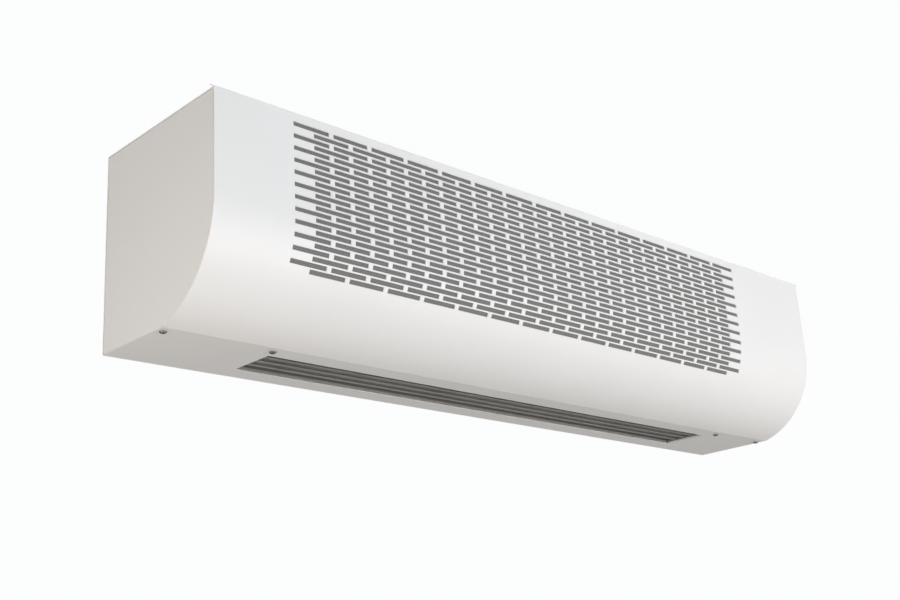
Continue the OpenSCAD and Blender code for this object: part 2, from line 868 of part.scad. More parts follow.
// The rubber ring that is pushed into the hole of the side wall and holds the bush
module bearing_rubber() {
  color("black") hang()
    difference() {
      union() {
        rod_x(bush_x0, duct_x1, axis_y, axis_h, holder_r);
        rod_x(duct_x1, right_wall_x, axis_y, axis_h, holder_neck_r);
        rod_x(right_wall_x, right_wall_x + holder_wall, axis_y, axis_h, holder_r);
        rod_x(right_wall_x + holder_wall, bush_x1, axis_y, axis_h, bush_r + holder_wall);
      }
      rod_x(bush_x0 - 1, bush_x1 + 1, axis_y, axis_h, bush_r);
    }
}

// ---- the motor ----

// The ring of vents through an end wall of the motor that begins at x
module motor_vents(x) {
  for (i = [0:vent_count - 1])
    translate([x - 1, axis_y, axis_h]) rotate([i * 360 / vent_count, 0, 0])
      translate([0, 0, motor_r * vent_place]) rotate([0, 90, 0])
        cylinder(h = motor_wall + 2, r = vent_r);
}

// The can of the motor with its left end wall and boss
module motor_housing() {
  color("slategray") hang()
    difference() {
      union() {
        rod_x(motor_x0, motor_x1 - motor_wall, axis_y, axis_h, motor_r);
        rod_x(motor_x0 - boss_l, motor_x0 + eps, axis_y, axis_h, boss_r);
      }
      rod_x(motor_x0 + motor_wall, motor_x1, axis_y, axis_h, motor_r - motor_wall);
      rod_x(motor_x0 - boss_l - 1, motor_x1, axis_y, axis_h, shaft_bore_r);
      motor_vents(motor_x0);
    }
}

// The end cap of the motor with the right boss
module motor_cap() {
  color("slategray") hang()
    difference() {
      union() {
        rod_x(motor_x1 - motor_wall, motor_x1, axis_y, axis_h, motor_r);
        rod_x(motor_x1 - eps, motor_x1 + boss_l, axis_y, axis_h, boss_r);
      }
      rod_x(motor_x0, motor_x1 + boss_l + 1, axis_y, axis_h, shaft_bore_r);
      motor_vents(motor_x1 - motor_wall);
    }
}

module motor_stator() {
  color("darkgray") hang()
    difference() {
      rod_x(motor_mid_x - core_l / 2, motor_mid_x + core_l / 2, axis_y, axis_h, motor_r - motor_wall);
      rod_x(motor_x0, motor_x1, axis_y, axis_h, rotor_d / 2 + air_gap);
    }
}

module motor_rotor() {
  color("lightgray") hang() {
    rod_x(motor_x0 - boss_l - shaft_tail, wheel_x0 + hub_l - shaft_short, axis_y, axis_h, shaft_r);
    rod_x(motor_mid_x - core_l / 2, motor_mid_x + core_l / 2, axis_y, axis_h, rotor_d / 2);
  }
}

// The two grooved rubber rings on the bosses of the motor
module motor_rubbers() {
  color("black") hang()
    for (x = arm_xs)
      difference() {
        union() {
          rod_x(x - rubber_l / 2, x + rubber_l / 2, axis_y, axis_h, rubber_groove_r);
          for (side = [-1, 1])
            translate([side * (rubber_l + bracket_t) / 4, 0, 0])
              rod_x(x - (rubber_l - bracket_t) / 4, x + (rubber_l - bracket_t) / 4,
                    axis_y, axis_h, rubber_r);
        }
        rod_x(x - rubber_l, x + rubber_l, axis_y, axis_h, boss_r);
      }
}

// The folded cradle that carries the motor by its rubber rings
module motor_bracket() {
  color("silver") hang()
    difference() {
      union() {
        for (x = arm_xs)
          along_x(x - bracket_t / 2, bracket_t) {
            plate2d([foot_y0, sheet_t], [foot_y1, cradle_h]);
            plate2d([axis_y - arm_w / 2, arm_z0], [axis_y + arm_w / 2, axis_h]);
            translate([axis_y, axis_h]) circle(arm_w / 2);
          }
        translate([arm_xs[0], foot_y0, sheet_t])
          cube([arm_xs[1] - arm_xs[0], foot_y1 - foot_y0, bracket_t]);
      }
      rod_x(arm_xs[0] - bracket_t, arm_xs[1] + bracket_t, axis_y, axis_h, rubber_groove_r);
      for (x = foot_stud_xs, y = foot_stud_ys)
        drill_z(x, y, 0, 2 * sheet_t + bracket_t, screw_hole_r);
    }
}

// The studs welded on the bottom panel inside the case
module foot_studs() {
  color("silver") hang()
    for (x = foot_stud_xs, y = foot_stud_ys)
      drill_z(x, y, sheet_t, sheet_t + bracket_t + nut_h + stud_tail, screw_r);
}

module foot_nuts() {
  nut_z = sheet_t + bracket_t;
  color("silver") hang()
    for (x = foot_stud_xs, y = foot_stud_ys)
      difference() {
        translate([x, y, nut_z]) cylinder(h = nut_h, d = nut_af / cos(30), $fn = 6);
        drill_z(x, y, nut_z - 1, nut_z + nut_h + 1, screw_r);
      }
}

// ---- the heater ----

// One finned rod as a turned profile: the sheath with a comb of fins
module finned_rod(z) {
  fin_x0 = duct_x0 + fin_margin;
  fin_count = floor((duct_l - 2 * fin_margin) / fin_pitch);
  fin_r = fin_d / 2;
  translate([rod_x0, rod_y, z]) rotate([0, 90, 0])
    rotate_extrude()
      polygon(concat(
        [[0, 0], [rod_r, 0]],
        [for (i = [0:fin_count]) let (h = fin_x0 - rod_x0 + i * fin_pitch) each [
          [rod_r, h], [fin_r, h], [fin_r, h + fin_t], [rod_r, h + fin_t]
        ]],
        [[rod_r, rod_x1 - rod_x0], [0, rod_x1 - rod_x0]]
      ));
}

module heating_rods() {
  color("darkgray") hang()
    for (z = rod_zs) finned_rod(z);
}

// The ceramic bushes that carry the rods in the side walls, each with its flange outside the duct
module rod_insulators() {
  color("ivory") hang()
    for (z = rod_zs, side = [-1, 1]) {
      wall_out = side < 0 ? left_wall_x : right_wall_x;
      wall_in = side < 0 ? duct_x0 : duct_x1;
      neck_end = wall_in - side * insulator_neck_l;
      flange_end = wall_out + side * insulator_flange_t;
      difference() {
        union() {
          rod_x(min(neck_end, wall_out), max(neck_end, wall_out), rod_y, z, insulator_r);
          rod_x(min(flange_end, wall_out), max(flange_end, wall_out), rod_y, z, insulator_flange_r);
        }
        rod_x(min(neck_end, flange_end) - 1, max(neck_end, flange_end) + 1, rod_y, z, rod_r);
      }
    }
}

// The threaded pins at the ends of the rods, each with its nut
module rod_terminals() {
  color("silver") hang()
    for (z = rod_zs, side = [-1, 1]) {
      x = side < 0 ? rod_x0 : rod_x1;
      pin_end = x + side * terminal_pin_l;
      rod_x(min(x, pin_end), max(x, pin_end), rod_y, z, screw_r);
      translate([(x + pin_end - nut_h) / 2, rod_y, z]) rotate([0, 90, 0])
        cylinder(h = nut_h, d = nut_af / cos(30), $fn = 6);
    }
}

// The bimetal switch on the outside of the right side wall, with its two flat tabs
module overheat_switch() {
  tab_size = [9, 0.8, 6];
  tab_pitch = 8;
  switch_y = axis_y - switch_front;
  switch_z = inner_top - switch_down;
  color("black") hang() {
    rod_x(right_wall_x, right_wall_x + switch_l, switch_y, switch_z, switch_d / 2);
    for (side = [-1, 1])
      translate([right_wall_x + switch_l - eps, switch_y + (side * tab_pitch - tab_size[1]) / 2,
                 switch_z - tab_size[2] / 2])
        cube(tab_size);
  }
}

// ---- the electrics in the right end ----

module terminal_block() {
  entry_r = pole_pitch * 0.28;
  entry_y = inner_back - block_depth * 0.62;
  step_z = block_z0 + block_h * 0.7;
  step_depth = block_depth * 0.3;
  block_x0 = board_mid_x - block_l / 2;
  block_y0 = inner_back - block_depth;
  color("beige") hang()
    difference() {
      translate([block_x0, block_y0, block_z0]) cube([block_l, block_depth, block_h]);
      translate([block_x0 - 1, block_y0 - 1, step_z]) cube([block_l + 2, step_depth + 1, block_h]);
      for (i = [0:pole_count - 1])
        drill_z(block_x0 + (i + 0.5) * pole_pitch, entry_y, block_z0 - 1,
                block_z0 + block_h / 2 - 1, entry_r);
    }
}

module circuit_board() {
  color("darkgreen") hang()
    difference() {
      translate([board_mid_x - board_l / 2, board_y0, board_z0]) cube([board_l, board_t, board_h]);
      board_corners() translate([0, 1, 0]) rotate([90, 0, 0]) cylinder(h = board_t + 2, r = screw_r * 0.8);
    }
}

// Puts a piece at each corner hole of the board, on the side facing the rear panel
module board_corners() {
  for (x = [-1, 1], z = [0, 1])
    translate([board_mid_x + x * (board_l / 2 - spacer_inset), board_y1,
               board_z0 + spacer_inset + z * (board_h - 2 * spacer_inset)])
      children();
}

module board_spacers() {
  color("white") hang()
    board_corners() rotate([-90, 0, 0]) cylinder(h = spacer_l, r = spacer_r);
}

module relays() {
  relay_size = [19, 15, 16];
  relay_count = 3;
  relay_pitch = 26;
  color("royalblue") hang()
    for (i = [0:relay_count - 1])
      translate([board_mid_x + (i - (relay_count - 1) / 2) * relay_pitch - relay_size[0] / 2,
                 board_y0 - relay_size[1], board_z0 + board_h * 0.5])
        cube(relay_size);
}

module capacitor() {
  color("lightgray") hang()
    drill_z(capacitor_x, capacitor_y, sheet_t, sheet_t + capacitor_l, capacitor_r);
}

// The band round the capacitor, with a tab bent against the side wall
module capacitor_clip() {
  tab_h = 3 * clip_h;
  color("silver") hang()
    difference() {
      union() {
        drill_z(capacitor_x, capacitor_y, clip_z, clip_z + clip_h, capacitor_r + clip_t);
        translate([right_wall_x, capacitor_y - clip_t / 2, clip_z])
          cube([capacitor_x - capacitor_r - right_wall_x, clip_t, clip_h]);
        translate([right_wall_x, capacitor_y - clip_t / 2, clip_z - clip_h])
          cube([clip_t, tab_h / 2, tab_h]);
      }
      drill_z(capacitor_x, capacitor_y, clip_z - 1, clip_z + clip_h + 1, capacitor_r);
    }
}

// The plastic gland for the supply cable in the top panel, with its hexagon and dome
module cable_gland() {
  panel_z = inner_top + sheet_t;
  gland_z0 = inner_top - gland_down;
  gland_z1 = panel_z + gland_up;
  hexagon_h = gland_up * 0.35;
  collar_h = gland_up * 0.75;
  color("dimgray") hang()
    difference() {
      union() {
        drill_z(gland_x, gland_y, gland_z0, gland_z1, gland_thread_r);
        translate([gland_x, gland_y, panel_z]) cylinder(h = hexagon_h, r = gland_body_r, $fn = 6);
        drill_z(gland_x, gland_y, panel_z, panel_z + collar_h, gland_thread_r + gland_collar_w);
      }
      drill_z(gland_x, gland_y, gland_z0 - 1, gland_z1 + 1, gland_bore_r);
    }
}

module gland_nut() {
  color("dimgray") hang()
    translate([gland_x, gland_y, inner_top - gland_nut_t])
      difference() {
        cylinder(h = gland_nut_t, r = gland_body_r, $fn = 6);
        translate([0, 0, -1]) cylinder(h = gland_nut_t + 2, r = gland_thread_r);
      }
}

// The earth stud on the bottom panel, with its nut
module earth_bolt() {
  earth_x = right_x - earth_inset;
  earth_y = foot_y1;
  earth_nut_z = sheet_t + 3;
  earth_nut_h = earth_d * 0.8;
  earth_nut_r = earth_d * 0.92;
  color("goldenrod") hang() {
    drill_z(earth_x, earth_y, sheet_t, sheet_t + earth_l, earth_d / 2);
    translate([earth_x, earth_y, earth_nut_z]) cylinder(h = earth_nut_h, r = earth_nut_r, $fn = 6);
  }
}

// ---- the wall brackets ----

// A plate screwed to the wall whose upper edge is folded forward and up into a hook
module wall_bracket(x) {
  plate_z0 = hook_top_z - bracket_plate_h;
  hook_y1 = inner_back - hook_play;
  color("darkgray") hang()
    difference() {
      union() {
        translate([x - bracket_w / 2, -hook_t, plate_z0]) cube([bracket_w, hook_t, bracket_plate_h]);
        translate([x - hook_w / 2, hook_y1 - hook_t, hook_top_z - hook_t])
          cube([hook_w, hook_t / 2 - hook_y1, hook_t]);
        translate([x - hook_w / 2, hook_y1 - hook_t, hook_top_z - hook_t])
          cube([hook_w, hook_t, hook_rise + hook_t]);
      }
      for (side = [-1, 1])
        translate([x, 1, hole_h + side * hole_pitch / 2]) rotate([90, 0, 0])
          cylinder(h = hook_t + 2, d = wall_hole_d);
    }
}

module wall_bracket_left() {
  wall_bracket(-bracket_span / 2);
}

module wall_bracket_right() {
  wall_bracket(bracket_span / 2);
}

front_cover();
intake_screen();
rear_panel();
top_panel();
bottom_panel();
left_end_plate();
right_end_plate();
bottom_screws();
top_screws();
outlet_vanes();
vane_bracket_left();
vane_bracket_right();
left_side_wall();
right_side_wall();
scroll_plate();
edge_plate();
fan_wheel();
wheel_hub();
stub_shaft();
bearing_bush();
bearing_rubber();
motor_housing();
motor_cap();
motor_stator();
motor_rotor();
motor_rubbers();
motor_bracket();
foot_studs();
foot_nuts();
heating_rods();
rod_insulators();
rod_terminals();
overheat_switch();
terminal_block();
circuit_board();
board_spacers();
relays();
capacitor();
capacitor_clip();
cable_gland();
gland_nut();
earth_bolt();
wall_bracket_left();
wall_bracket_right();
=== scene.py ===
"""The looks of a wall mounted air curtain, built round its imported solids.

The row frame has the wall at y = 0, the room on the -Y side, X along the curtain and Z up, in
metres. The cover, its mesh, the end plates, the underside, the vanes and the case screws are
shaped here from the planes of the solids. Every other piece is a copy of its CAD node.
"""
import logging
from dataclasses import dataclass
from enum import Enum
from math import asin, cos, pi, radians, sin, sqrt, tan
from typing import Iterable, Sequence

import bmesh
import bpy
import numpy as np
from mathutils import Matrix, Vector
from numpy.typing import NDArray


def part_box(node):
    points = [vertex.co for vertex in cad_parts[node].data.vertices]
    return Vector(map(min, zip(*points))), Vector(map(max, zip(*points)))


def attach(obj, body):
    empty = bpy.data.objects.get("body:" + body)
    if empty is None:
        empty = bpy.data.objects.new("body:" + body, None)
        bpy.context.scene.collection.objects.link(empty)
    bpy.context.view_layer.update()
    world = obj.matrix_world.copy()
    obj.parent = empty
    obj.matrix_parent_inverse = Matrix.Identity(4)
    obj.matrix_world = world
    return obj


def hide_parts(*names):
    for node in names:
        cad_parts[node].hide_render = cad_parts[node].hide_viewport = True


LOG = logging.getLogger("air_curtain")
MILLIMETRE = 0.001

Array = NDArray[np.float64]
Ids = NDArray[np.int64]
Mask = NDArray[np.bool_]
Socket = bpy.types.NodeSocket
Span = tuple[float, float]
Point = tuple[float, float, float]
Colour = tuple[float, float, float]
Part = tuple[Array, list[list[int]]]

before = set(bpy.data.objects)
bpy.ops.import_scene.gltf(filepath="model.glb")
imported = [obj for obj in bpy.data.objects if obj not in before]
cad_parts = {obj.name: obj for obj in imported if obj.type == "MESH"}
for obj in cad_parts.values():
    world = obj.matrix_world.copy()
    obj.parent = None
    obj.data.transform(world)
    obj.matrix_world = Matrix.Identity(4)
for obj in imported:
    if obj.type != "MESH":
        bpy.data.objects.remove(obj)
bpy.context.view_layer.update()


class Side(Enum):
    """An end of the case, as the sign of its X."""

    LEFT = -1
    RIGHT = 1


class Grain(Enum):
    """The way in which a metal was rolled or brushed, as the scale of its pattern per axis."""

    ALONG_X = (0.06, 1.0, 1.0)
    ALONG_Z = (1.0, 1.0, 0.06)
    AROUND_X = (1.0, 0.08, 0.08)
    NONE = (1.0, 1.0, 1.0)


# ---- finishes ----


# Smooth noise keeps mostly to these spans. The wider one is used for gloss.
COLOUR_SPAN = (0.3, 0.7)
GLOSS_SPAN = (0.25, 0.75)

# Distance in metres after which a wave texture with a scale of 1 repeats.
WAVE_PERIOD = 0.1 * pi

# The sockets that a Mix node uses for colours. Their names belong to its other sockets too.
MIX_SHARE, MIX_UNDER, MIX_OVER, MIX_RESULT = 0, 6, 7, 2


def combined(tree: bpy.types.NodeTree, operation: str, first: Socket,
             second: Socket | float) -> Socket:
    """What a Math node makes of two factors, or of a factor and a number.

    Args:
        tree: The node tree.
        operation: The node's operation.
        first: A factor.
        second: A factor or a number.

    Returns:
        The result.
    """
    node = tree.nodes.new("ShaderNodeMath")
    node.operation = operation
    tree.links.new(first, node.inputs[0])
    if isinstance(second, float):
        node.inputs[1].default_value = second
    else:
        tree.links.new(second, node.inputs[1])
    return node.outputs["Value"]


class NodeBook:
    """A node material on Object coordinates, written in short calls."""

    def __init__(self, name: str) -> None:
        """Starts a material with one Principled shader.

        Args:
            name: The material's name.
        """
        self.material = bpy.data.materials.new(name)
        self.material.use_nodes = True
        self.tree = self.material.node_tree
        self.shader = self.tree.nodes["Principled BSDF"]
        self.place = self.tree.nodes.new("ShaderNodeTexCoord").outputs["Object"]

    def fixed(self, **values: float) -> None:
        """Sets sockets of the shader that are the same all over."""
        for name, value in values.items():
            self.shader.inputs[name].default_value = value

    def link(self, source: Socket, socket: str) -> None:
        """Joins a node's output to a socket of the shader."""
        self.tree.links.new(source, self.shader.inputs[socket])

    def shade(self, factor: Socket, dark: Colour, light: Colour,
              span: Span = COLOUR_SPAN) -> None:
        """Gives the surface its colour, from dark to light over a span of a factor."""
        self.link(self.ramp(factor, span, (dark, light)), "Base Color")

    def roughen(self, factor: Socket, roughness: Span) -> None:
        """Gives the surface its roughness, from low to high along a factor."""
        self.link(self.mapped(factor, GLOSS_SPAN, roughness), "Roughness")

    def along(self, grain: Grain) -> Socket:
        """Object coordinates on which a pattern is stretched the way of a grain."""
        mapping = self.tree.nodes.new("ShaderNodeMapping")
        mapping.inputs["Scale"].default_value = grain.value
        self.tree.links.new(self.place, mapping.inputs["Vector"])
        return mapping.outputs["Vector"]

    def texture(self, kind: str, scale: float, place: Socket | None = None) -> bpy.types.Node:
        """A texture node.

        Args:
            kind: The end of the node's type, such as Voronoi.
            scale: The node's own scale, per metre.
            place: Coordinates, or None for the book's own.

        Returns:
            The node.
        """
        node = self.tree.nodes.new(f"ShaderNodeTex{kind}")
        node.inputs["Scale"].default_value = scale
        self.tree.links.new(place or self.place, node.inputs["Vector"])
        return node

    def noise(self, scale: float, layers: float = 2.0, place: Socket | None = None) -> Socket:
        """Smooth noise from 0 to 1, with a number of finer layers in it."""
        node = self.texture("Noise", scale, place)
        node.inputs["Detail"].default_value = layers
        return node.outputs["Fac"]

    def waves(self, pitch: float, axis: str) -> Socket:
        """Straight bands across one axis, from 0 to 1 and back over a pitch in metres."""
        node = self.texture("Wave", WAVE_PERIOD / pitch)
        node.bands_direction = axis
        return node.outputs["Fac"]

    def ramp(self, factor: Socket, places: Sequence[float], colours: Sequence[Colour]) -> Socket:
        """Colours along a factor.

        Args:
            factor: What is looked up, from 0 to 1.
            places: Where on it each colour lies.
            colours: The colours.

        Returns:
            The colour.
        """
        node = self.tree.nodes.new("ShaderNodeValToRGB")
        elements = node.color_ramp.elements
        while len(elements) < len(places):
            elements.new(1.0)
        for element, place, colour in zip(elements, places, colours):
            element.position = place
            element.color = (*colour, 1.0)
        self.tree.links.new(factor, node.inputs["Fac"])
        return node.outputs["Color"]

    def mapped(self, factor: Socket, source: Span, target: Span = (0.0, 1.0)) -> Socket:
        """A factor carried from one span to another, and held at the ends of it."""
        node = self.tree.nodes.new("ShaderNodeMapRange")
        names = ("From Min", "From Max", "To Min", "To Max")
        for name, value in zip(names, (*source, *target)):
            node.inputs[name].default_value = value
        self.tree.links.new(factor, node.inputs["Value"])
        return node.outputs["Result"]

    def risen(self, low: float, high: float) -> Socket:
        """A factor that goes from 0 to 1 between two heights (Z) in metres."""
        parts = self.tree.nodes.new("ShaderNodeSeparateXYZ")
        self.tree.links.new(self.place, parts.inputs["Vector"])
        return self.mapped(parts.outputs["Z"], (low, high))

    def covered(self, colour: Socket, cover: Colour, share: Socket) -> Socket:
        """A colour under a share of another one."""
        node = self.tree.nodes.new("ShaderNodeMix")
        node.data_type = "RGBA"
        node.inputs[MIX_OVER].default_value = (*cover, 1.0)
        self.tree.links.new(share, node.inputs[MIX_SHARE])
        self.tree.links.new(colour, node.inputs[MIX_UNDER])
        return node.outputs[MIX_RESULT]

    def bump(self, height: Socket, depth: float, below: Socket | None = None) -> Socket:
        """Relief of a real depth in metres, on top of another one if below is given."""
        node = self.tree.nodes.new("ShaderNodeBump")
        node.inputs["Strength"].default_value = 1.0
        node.inputs["Distance"].default_value = depth
        self.tree.links.new(height, node.inputs["Height"])
        if below is not None:
            self.tree.links.new(below, node.inputs["Normal"])
        return node.outputs["Normal"]


@dataclass(frozen=True)
class Finish:
    """What every finish has: a material name and the record's slot."""

    name: str
    slot: str

    def build(self) -> bpy.types.Material:
        """Makes the material, once."""
        found = bpy.data.materials.get(self.name)
        if found is not None:
            return found
        book = NodeBook(self.name)
        self.write(book)
        return book.material

    def write(self, book: NodeBook) -> None:
        """Writes the finish's own nodes."""
        raise NotImplementedError


@dataclass(frozen=True)
class PowderCoat(Finish):
    """Baked powder on steel: satin, with the orange peel of the melted powder."""

    dark: Colour = (0.835, 0.828, 0.812)
    light: Colour = (0.86, 0.855, 0.84)
    roughness: Span = (0.36, 0.44)
    clouds_per_metre: float = 5.0
    peel_per_metre: float = 420.0
    peel_depth: float = 0.012 * MILLIMETRE
    grit_per_metre: float = 2600.0
    grit_depth: float = 0.003 * MILLIMETRE

    def write(self, book: NodeBook) -> None:
        """Faint clouds in the colour, long peel waves and fine grit in the relief."""
        book.shade(book.noise(self.clouds_per_metre, layers=3.0), self.dark, self.light)
        grit = book.noise(self.grit_per_metre, layers=1.0)
        book.roughen(grit, self.roughness)
        peel = book.bump(book.noise(self.peel_per_metre, layers=1.5), self.peel_depth)
        book.link(book.bump(grit, self.grit_depth, peel), "Normal")
        book.fixed(IOR=1.5)


@dataclass(frozen=True)
class SpangledZinc(Finish):
    """Hot dipped zinc, whose crystals lie in patches of differing grey."""

    dark: Colour
    light: Colour
    crystals_per_metre: float = 160.0
    roughness: Span = (0.38, 0.55)
    crystal_span: Span = (0.1, 0.9)
    skin_per_metre: float = 900.0
    skin_depth: float = 0.008 * MILLIMETRE

    def write(self, book: NodeBook) -> None:
        """Each Voronoi cell has its own grey and gloss."""
        crystals = book.texture("Voronoi", self.crystals_per_metre).outputs["Color"]
        grey = book.ramp(crystals, self.crystal_span, (self.dark, self.light))
        book.link(self.with_painted_shade(book, grey), "Base Color")
        book.roughen(crystals, self.roughness)
        book.link(book.bump(book.noise(self.skin_per_metre), self.skin_depth), "Normal")
        book.fixed(Metallic=0.3)

    def with_painted_shade(self, book: NodeBook, grey: Socket) -> Socket:
        """The zinc's grey with no painted shade on it."""
        return grey


@dataclass(frozen=True)
class ShadedDuctZinc(SpangledZinc):
    """The duct's zinc: plain by the outlet's edge, with painted shade on it further in."""

    # Painted shade: its colour, the plain height over the underside, and how far it fades in.
    shade_colour: Colour = (0.17, 0.168, 0.163)
    unshaded_height: float = 4.6 * MILLIMETRE
    fade: float = 0.8 * MILLIMETRE

    def with_painted_shade(self, book: NodeBook, grey: Socket) -> Socket:
        """The zinc's grey under painted shade, which starts at a height over the underside."""
        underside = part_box("bottom_panel")[0].z
        start = underside + self.unshaded_height
        return book.covered(grey, self.shade_colour, book.risen(start, start + self.fade))


@dataclass(frozen=True)
class RolledMetal(Finish):
    """Bare or plated metal with fine marks of rolling, turning or brushing."""

    dark: Colour
    light: Colour
    grain: Grain = Grain.ALONG_X
    roughness: Span = (0.28, 0.42)
    metallic: float = 1.0
    stains_per_metre: float = 14.0
    marks_per_metre: float = 1500.0
    mark_depth: float = 0.006 * MILLIMETRE

    def write(self, book: NodeBook) -> None:
        """Stretched noise gives the marks, and broad noise the stains."""
        book.shade(book.noise(self.stains_per_metre, layers=3.0), self.dark, self.light)
        marks = book.noise(self.marks_per_metre, layers=3.0, place=book.along(self.grain))
        book.roughen(marks, self.roughness)
        book.link(book.bump(marks, self.mark_depth), "Normal")
        book.fixed(Metallic=self.metallic)


@dataclass(frozen=True)
class Moulded(Finish):
    """Plastic, rubber, glaze or cast paint: one mass colour with a fine moulded skin."""

    dark: Colour
    light: Colour
    roughness: Span = (0.4, 0.55)
    skin_per_metre: float = 1800.0
    skin_depth: float = 0.01 * MILLIMETRE
    clouds_per_metre: float = 30.0

    def write(self, book: NodeBook) -> None:
        """Broad noise in the colour and fine noise in the skin."""
        book.shade(book.noise(self.clouds_per_metre, layers=3.0), self.dark, self.light)
        skin = book.noise(self.skin_per_metre)
        book.roughen(skin, self.roughness)
        book.link(book.bump(skin, self.skin_depth), "Normal")


@dataclass(frozen=True)
class Laminations(Finish):
    """Stacked sheets of iron with lacquer between them."""

    lacquer: Colour = (0.08, 0.06, 0.05)
    iron: Colour = (0.34, 0.33, 0.32)
    iron_span: Span = (0.15, 0.4)
    roughness: Span = (0.45, 0.65)
    sheet_pitch: float = 0.98175 * MILLIMETRE
    groove_depth: float = 0.06 * MILLIMETRE
    grain_per_metre: float = 400.0

    def write(self, book: NodeBook) -> None:
        """Bands across X are the edges of the sheets."""
        edges = book.waves(self.sheet_pitch, "X")
        book.shade(edges, self.lacquer, self.iron, self.iron_span)
        book.roughen(book.noise(self.grain_per_metre), self.roughness)
        book.link(book.bump(edges, self.groove_depth), "Normal")
        book.fixed(Metallic=0.7)


@dataclass(frozen=True)
class PrintedBoard(Finish):
    """Green solder mask over copper tracks."""

    track: Colour = (0.03, 0.22, 0.09)
    mask: Colour = (0.015, 0.13, 0.055)
    track_span: Span = (0.42, 0.5)
    tracks_per_metre: float = 190.0
    track_height: float = 0.03 * MILLIMETRE
    roughness: Span = (0.25, 0.35)
    grain_per_metre: float = 700.0

    def write(self, book: NodeBook) -> None:
        """The rims of square Voronoi cells stand for the lanes between the tracks."""
        cells = book.texture("Voronoi", self.tracks_per_metre)
        cells.distance = "CHEBYCHEV"
        lanes = cells.outputs["Distance"]
        book.shade(lanes, self.track, self.mask, self.track_span)
        book.link(book.bump(lanes, self.track_height), "Normal")
        book.roughen(book.noise(self.grain_per_metre), self.roughness)


@dataclass(frozen=True)
class TemperedSteel(Finish):
    """Stainless steel that heat has tinted straw and brown in places."""

    tints: tuple[Colour, ...] = ((0.6, 0.595, 0.585), (0.58, 0.56, 0.52), (0.52, 0.49, 0.44))
    tint_places: tuple[float, ...] = (0.35, 0.55, 0.75)
    tints_per_metre: float = 9.0
    roughness: Span = (0.34, 0.5)
    marks_per_metre: float = 1200.0
    mark_depth: float = 0.006 * MILLIMETRE

    def write(self, book: NodeBook) -> None:
        """Broad noise along the rods picks the tint: steel, straw or brown."""
        tint = book.noise(self.tints_per_metre, layers=3.0)
        book.link(book.ramp(tint, self.tint_places, self.tints), "Base Color")
        marks = book.noise(self.marks_per_metre, place=book.along(Grain.AROUND_X))
        book.roughen(marks, self.roughness)
        book.link(book.bump(marks, self.mark_depth), "Normal")
        book.fixed(Metallic=0.3)


@dataclass(frozen=True)
class WireMesh(Finish):
    """Fine crossed wires with painted shade in the gaps, on the piece's own map of its surface.
    """

    # The gap colour is painted shade, for the dark seen through the openings.
    gap: Colour = (0.06, 0.058, 0.055)
    wire: Colour = (0.22, 0.216, 0.207)
    wire_span: Span = (0.5, 0.7)
    roughness: Span = (0.6, 0.75)
    pitch: float = 1.6 * MILLIMETRE
    relief: float = 0.12 * MILLIMETRE
    grain_per_metre: float = 300.0

    def write(self, book: NodeBook) -> None:
        """The larger of two sets of round bands is a wire where high, painted shade for a gap
        where low.
        """
        book.place = book.place.node.outputs["UV"]
        wires = combined(book.tree, "MAXIMUM", book.waves(self.pitch, "X"),
                         book.waves(self.pitch, "Y"))
        book.shade(wires, self.gap, self.wire, self.wire_span)
        book.roughen(book.noise(self.grain_per_metre), self.roughness)
        book.link(book.bump(wires, self.relief), "Normal")


CASE_COAT = PowderCoat("white_powder", "white_powder_coat")
SCREEN_WIRE = WireMesh("woven_wire", "screen_wire")
# The duct's zinc, with painted shade on it above a little height over the underside.
ZINC = ShadedDuctZinc("duct_zinc_painted_shade", "galvanised_sheet", (0.31, 0.312, 0.31), (0.36, 0.362, 0.36),
                crystals_per_metre=240.0, roughness=(0.5, 0.6))
HOOK_STEEL = SpangledZinc("bracket_zinc", "bracket_steel", (0.42, 0.43, 0.44),
                          (0.56, 0.57, 0.58))
VANE_ALUMINIUM = RolledMetal("vane_aluminium", "vane_metal", (0.21, 0.21, 0.205),
                             (0.26, 0.26, 0.25), roughness=(0.55, 0.7), metallic=0.2)
SCREW_PLATING = RolledMetal("screw_plating", "plated_steel", (0.09, 0.088, 0.084),
                            (0.18, 0.176, 0.17), Grain.NONE, roughness=(0.25, 0.38))
BARE_PLATING = RolledMetal("zinc_plating", "plated_steel", (0.52, 0.52, 0.51),
                           (0.62, 0.62, 0.61))
SHAFT_STEEL = RolledMetal("turned_steel", "plated_steel", (0.5, 0.5, 0.5), (0.6, 0.6, 0.6),
                          Grain.AROUND_X, roughness=(0.2, 0.32))
WHEEL_ALUMINIUM = RolledMetal("wheel_sheet", "wheel_aluminium", (0.6, 0.605, 0.61),
                              (0.68, 0.685, 0.69), roughness=(0.4, 0.55), metallic=0.3)
HUB_BRASS = RolledMetal("turned_brass", "hub_brass", (0.62, 0.47, 0.2), (0.72, 0.56, 0.27),
                        Grain.AROUND_X)
BUSH_BRONZE = RolledMetal("sintered_bronze", "bronze", (0.44, 0.28, 0.14), (0.56, 0.38, 0.2),
                          Grain.NONE, roughness=(0.45, 0.6))
CAN_ALUMINIUM = RolledMetal("drawn_aluminium", "capacitor_can", (0.66, 0.66, 0.66),
                            (0.74, 0.74, 0.74), Grain.ALONG_Z)
CORE_IRON = Laminations("core_sheets", "core_iron")
ROD_STEEL = TemperedSteel("rod_sheath", "rod_steel")
BOARD_GREEN = PrintedBoard("board_mask", "board_green")
RUBBER = Moulded("soft_rubber", "black_rubber", (0.018, 0.018, 0.018), (0.03, 0.03, 0.03),
                 roughness=(0.6, 0.75))
MOTOR_PAINT = Moulded("motor_enamel", "motor_paint", (0.1, 0.11, 0.12), (0.14, 0.15, 0.165),
                      roughness=(0.35, 0.5), skin_per_metre=350.0,
                      skin_depth=0.05 * MILLIMETRE)
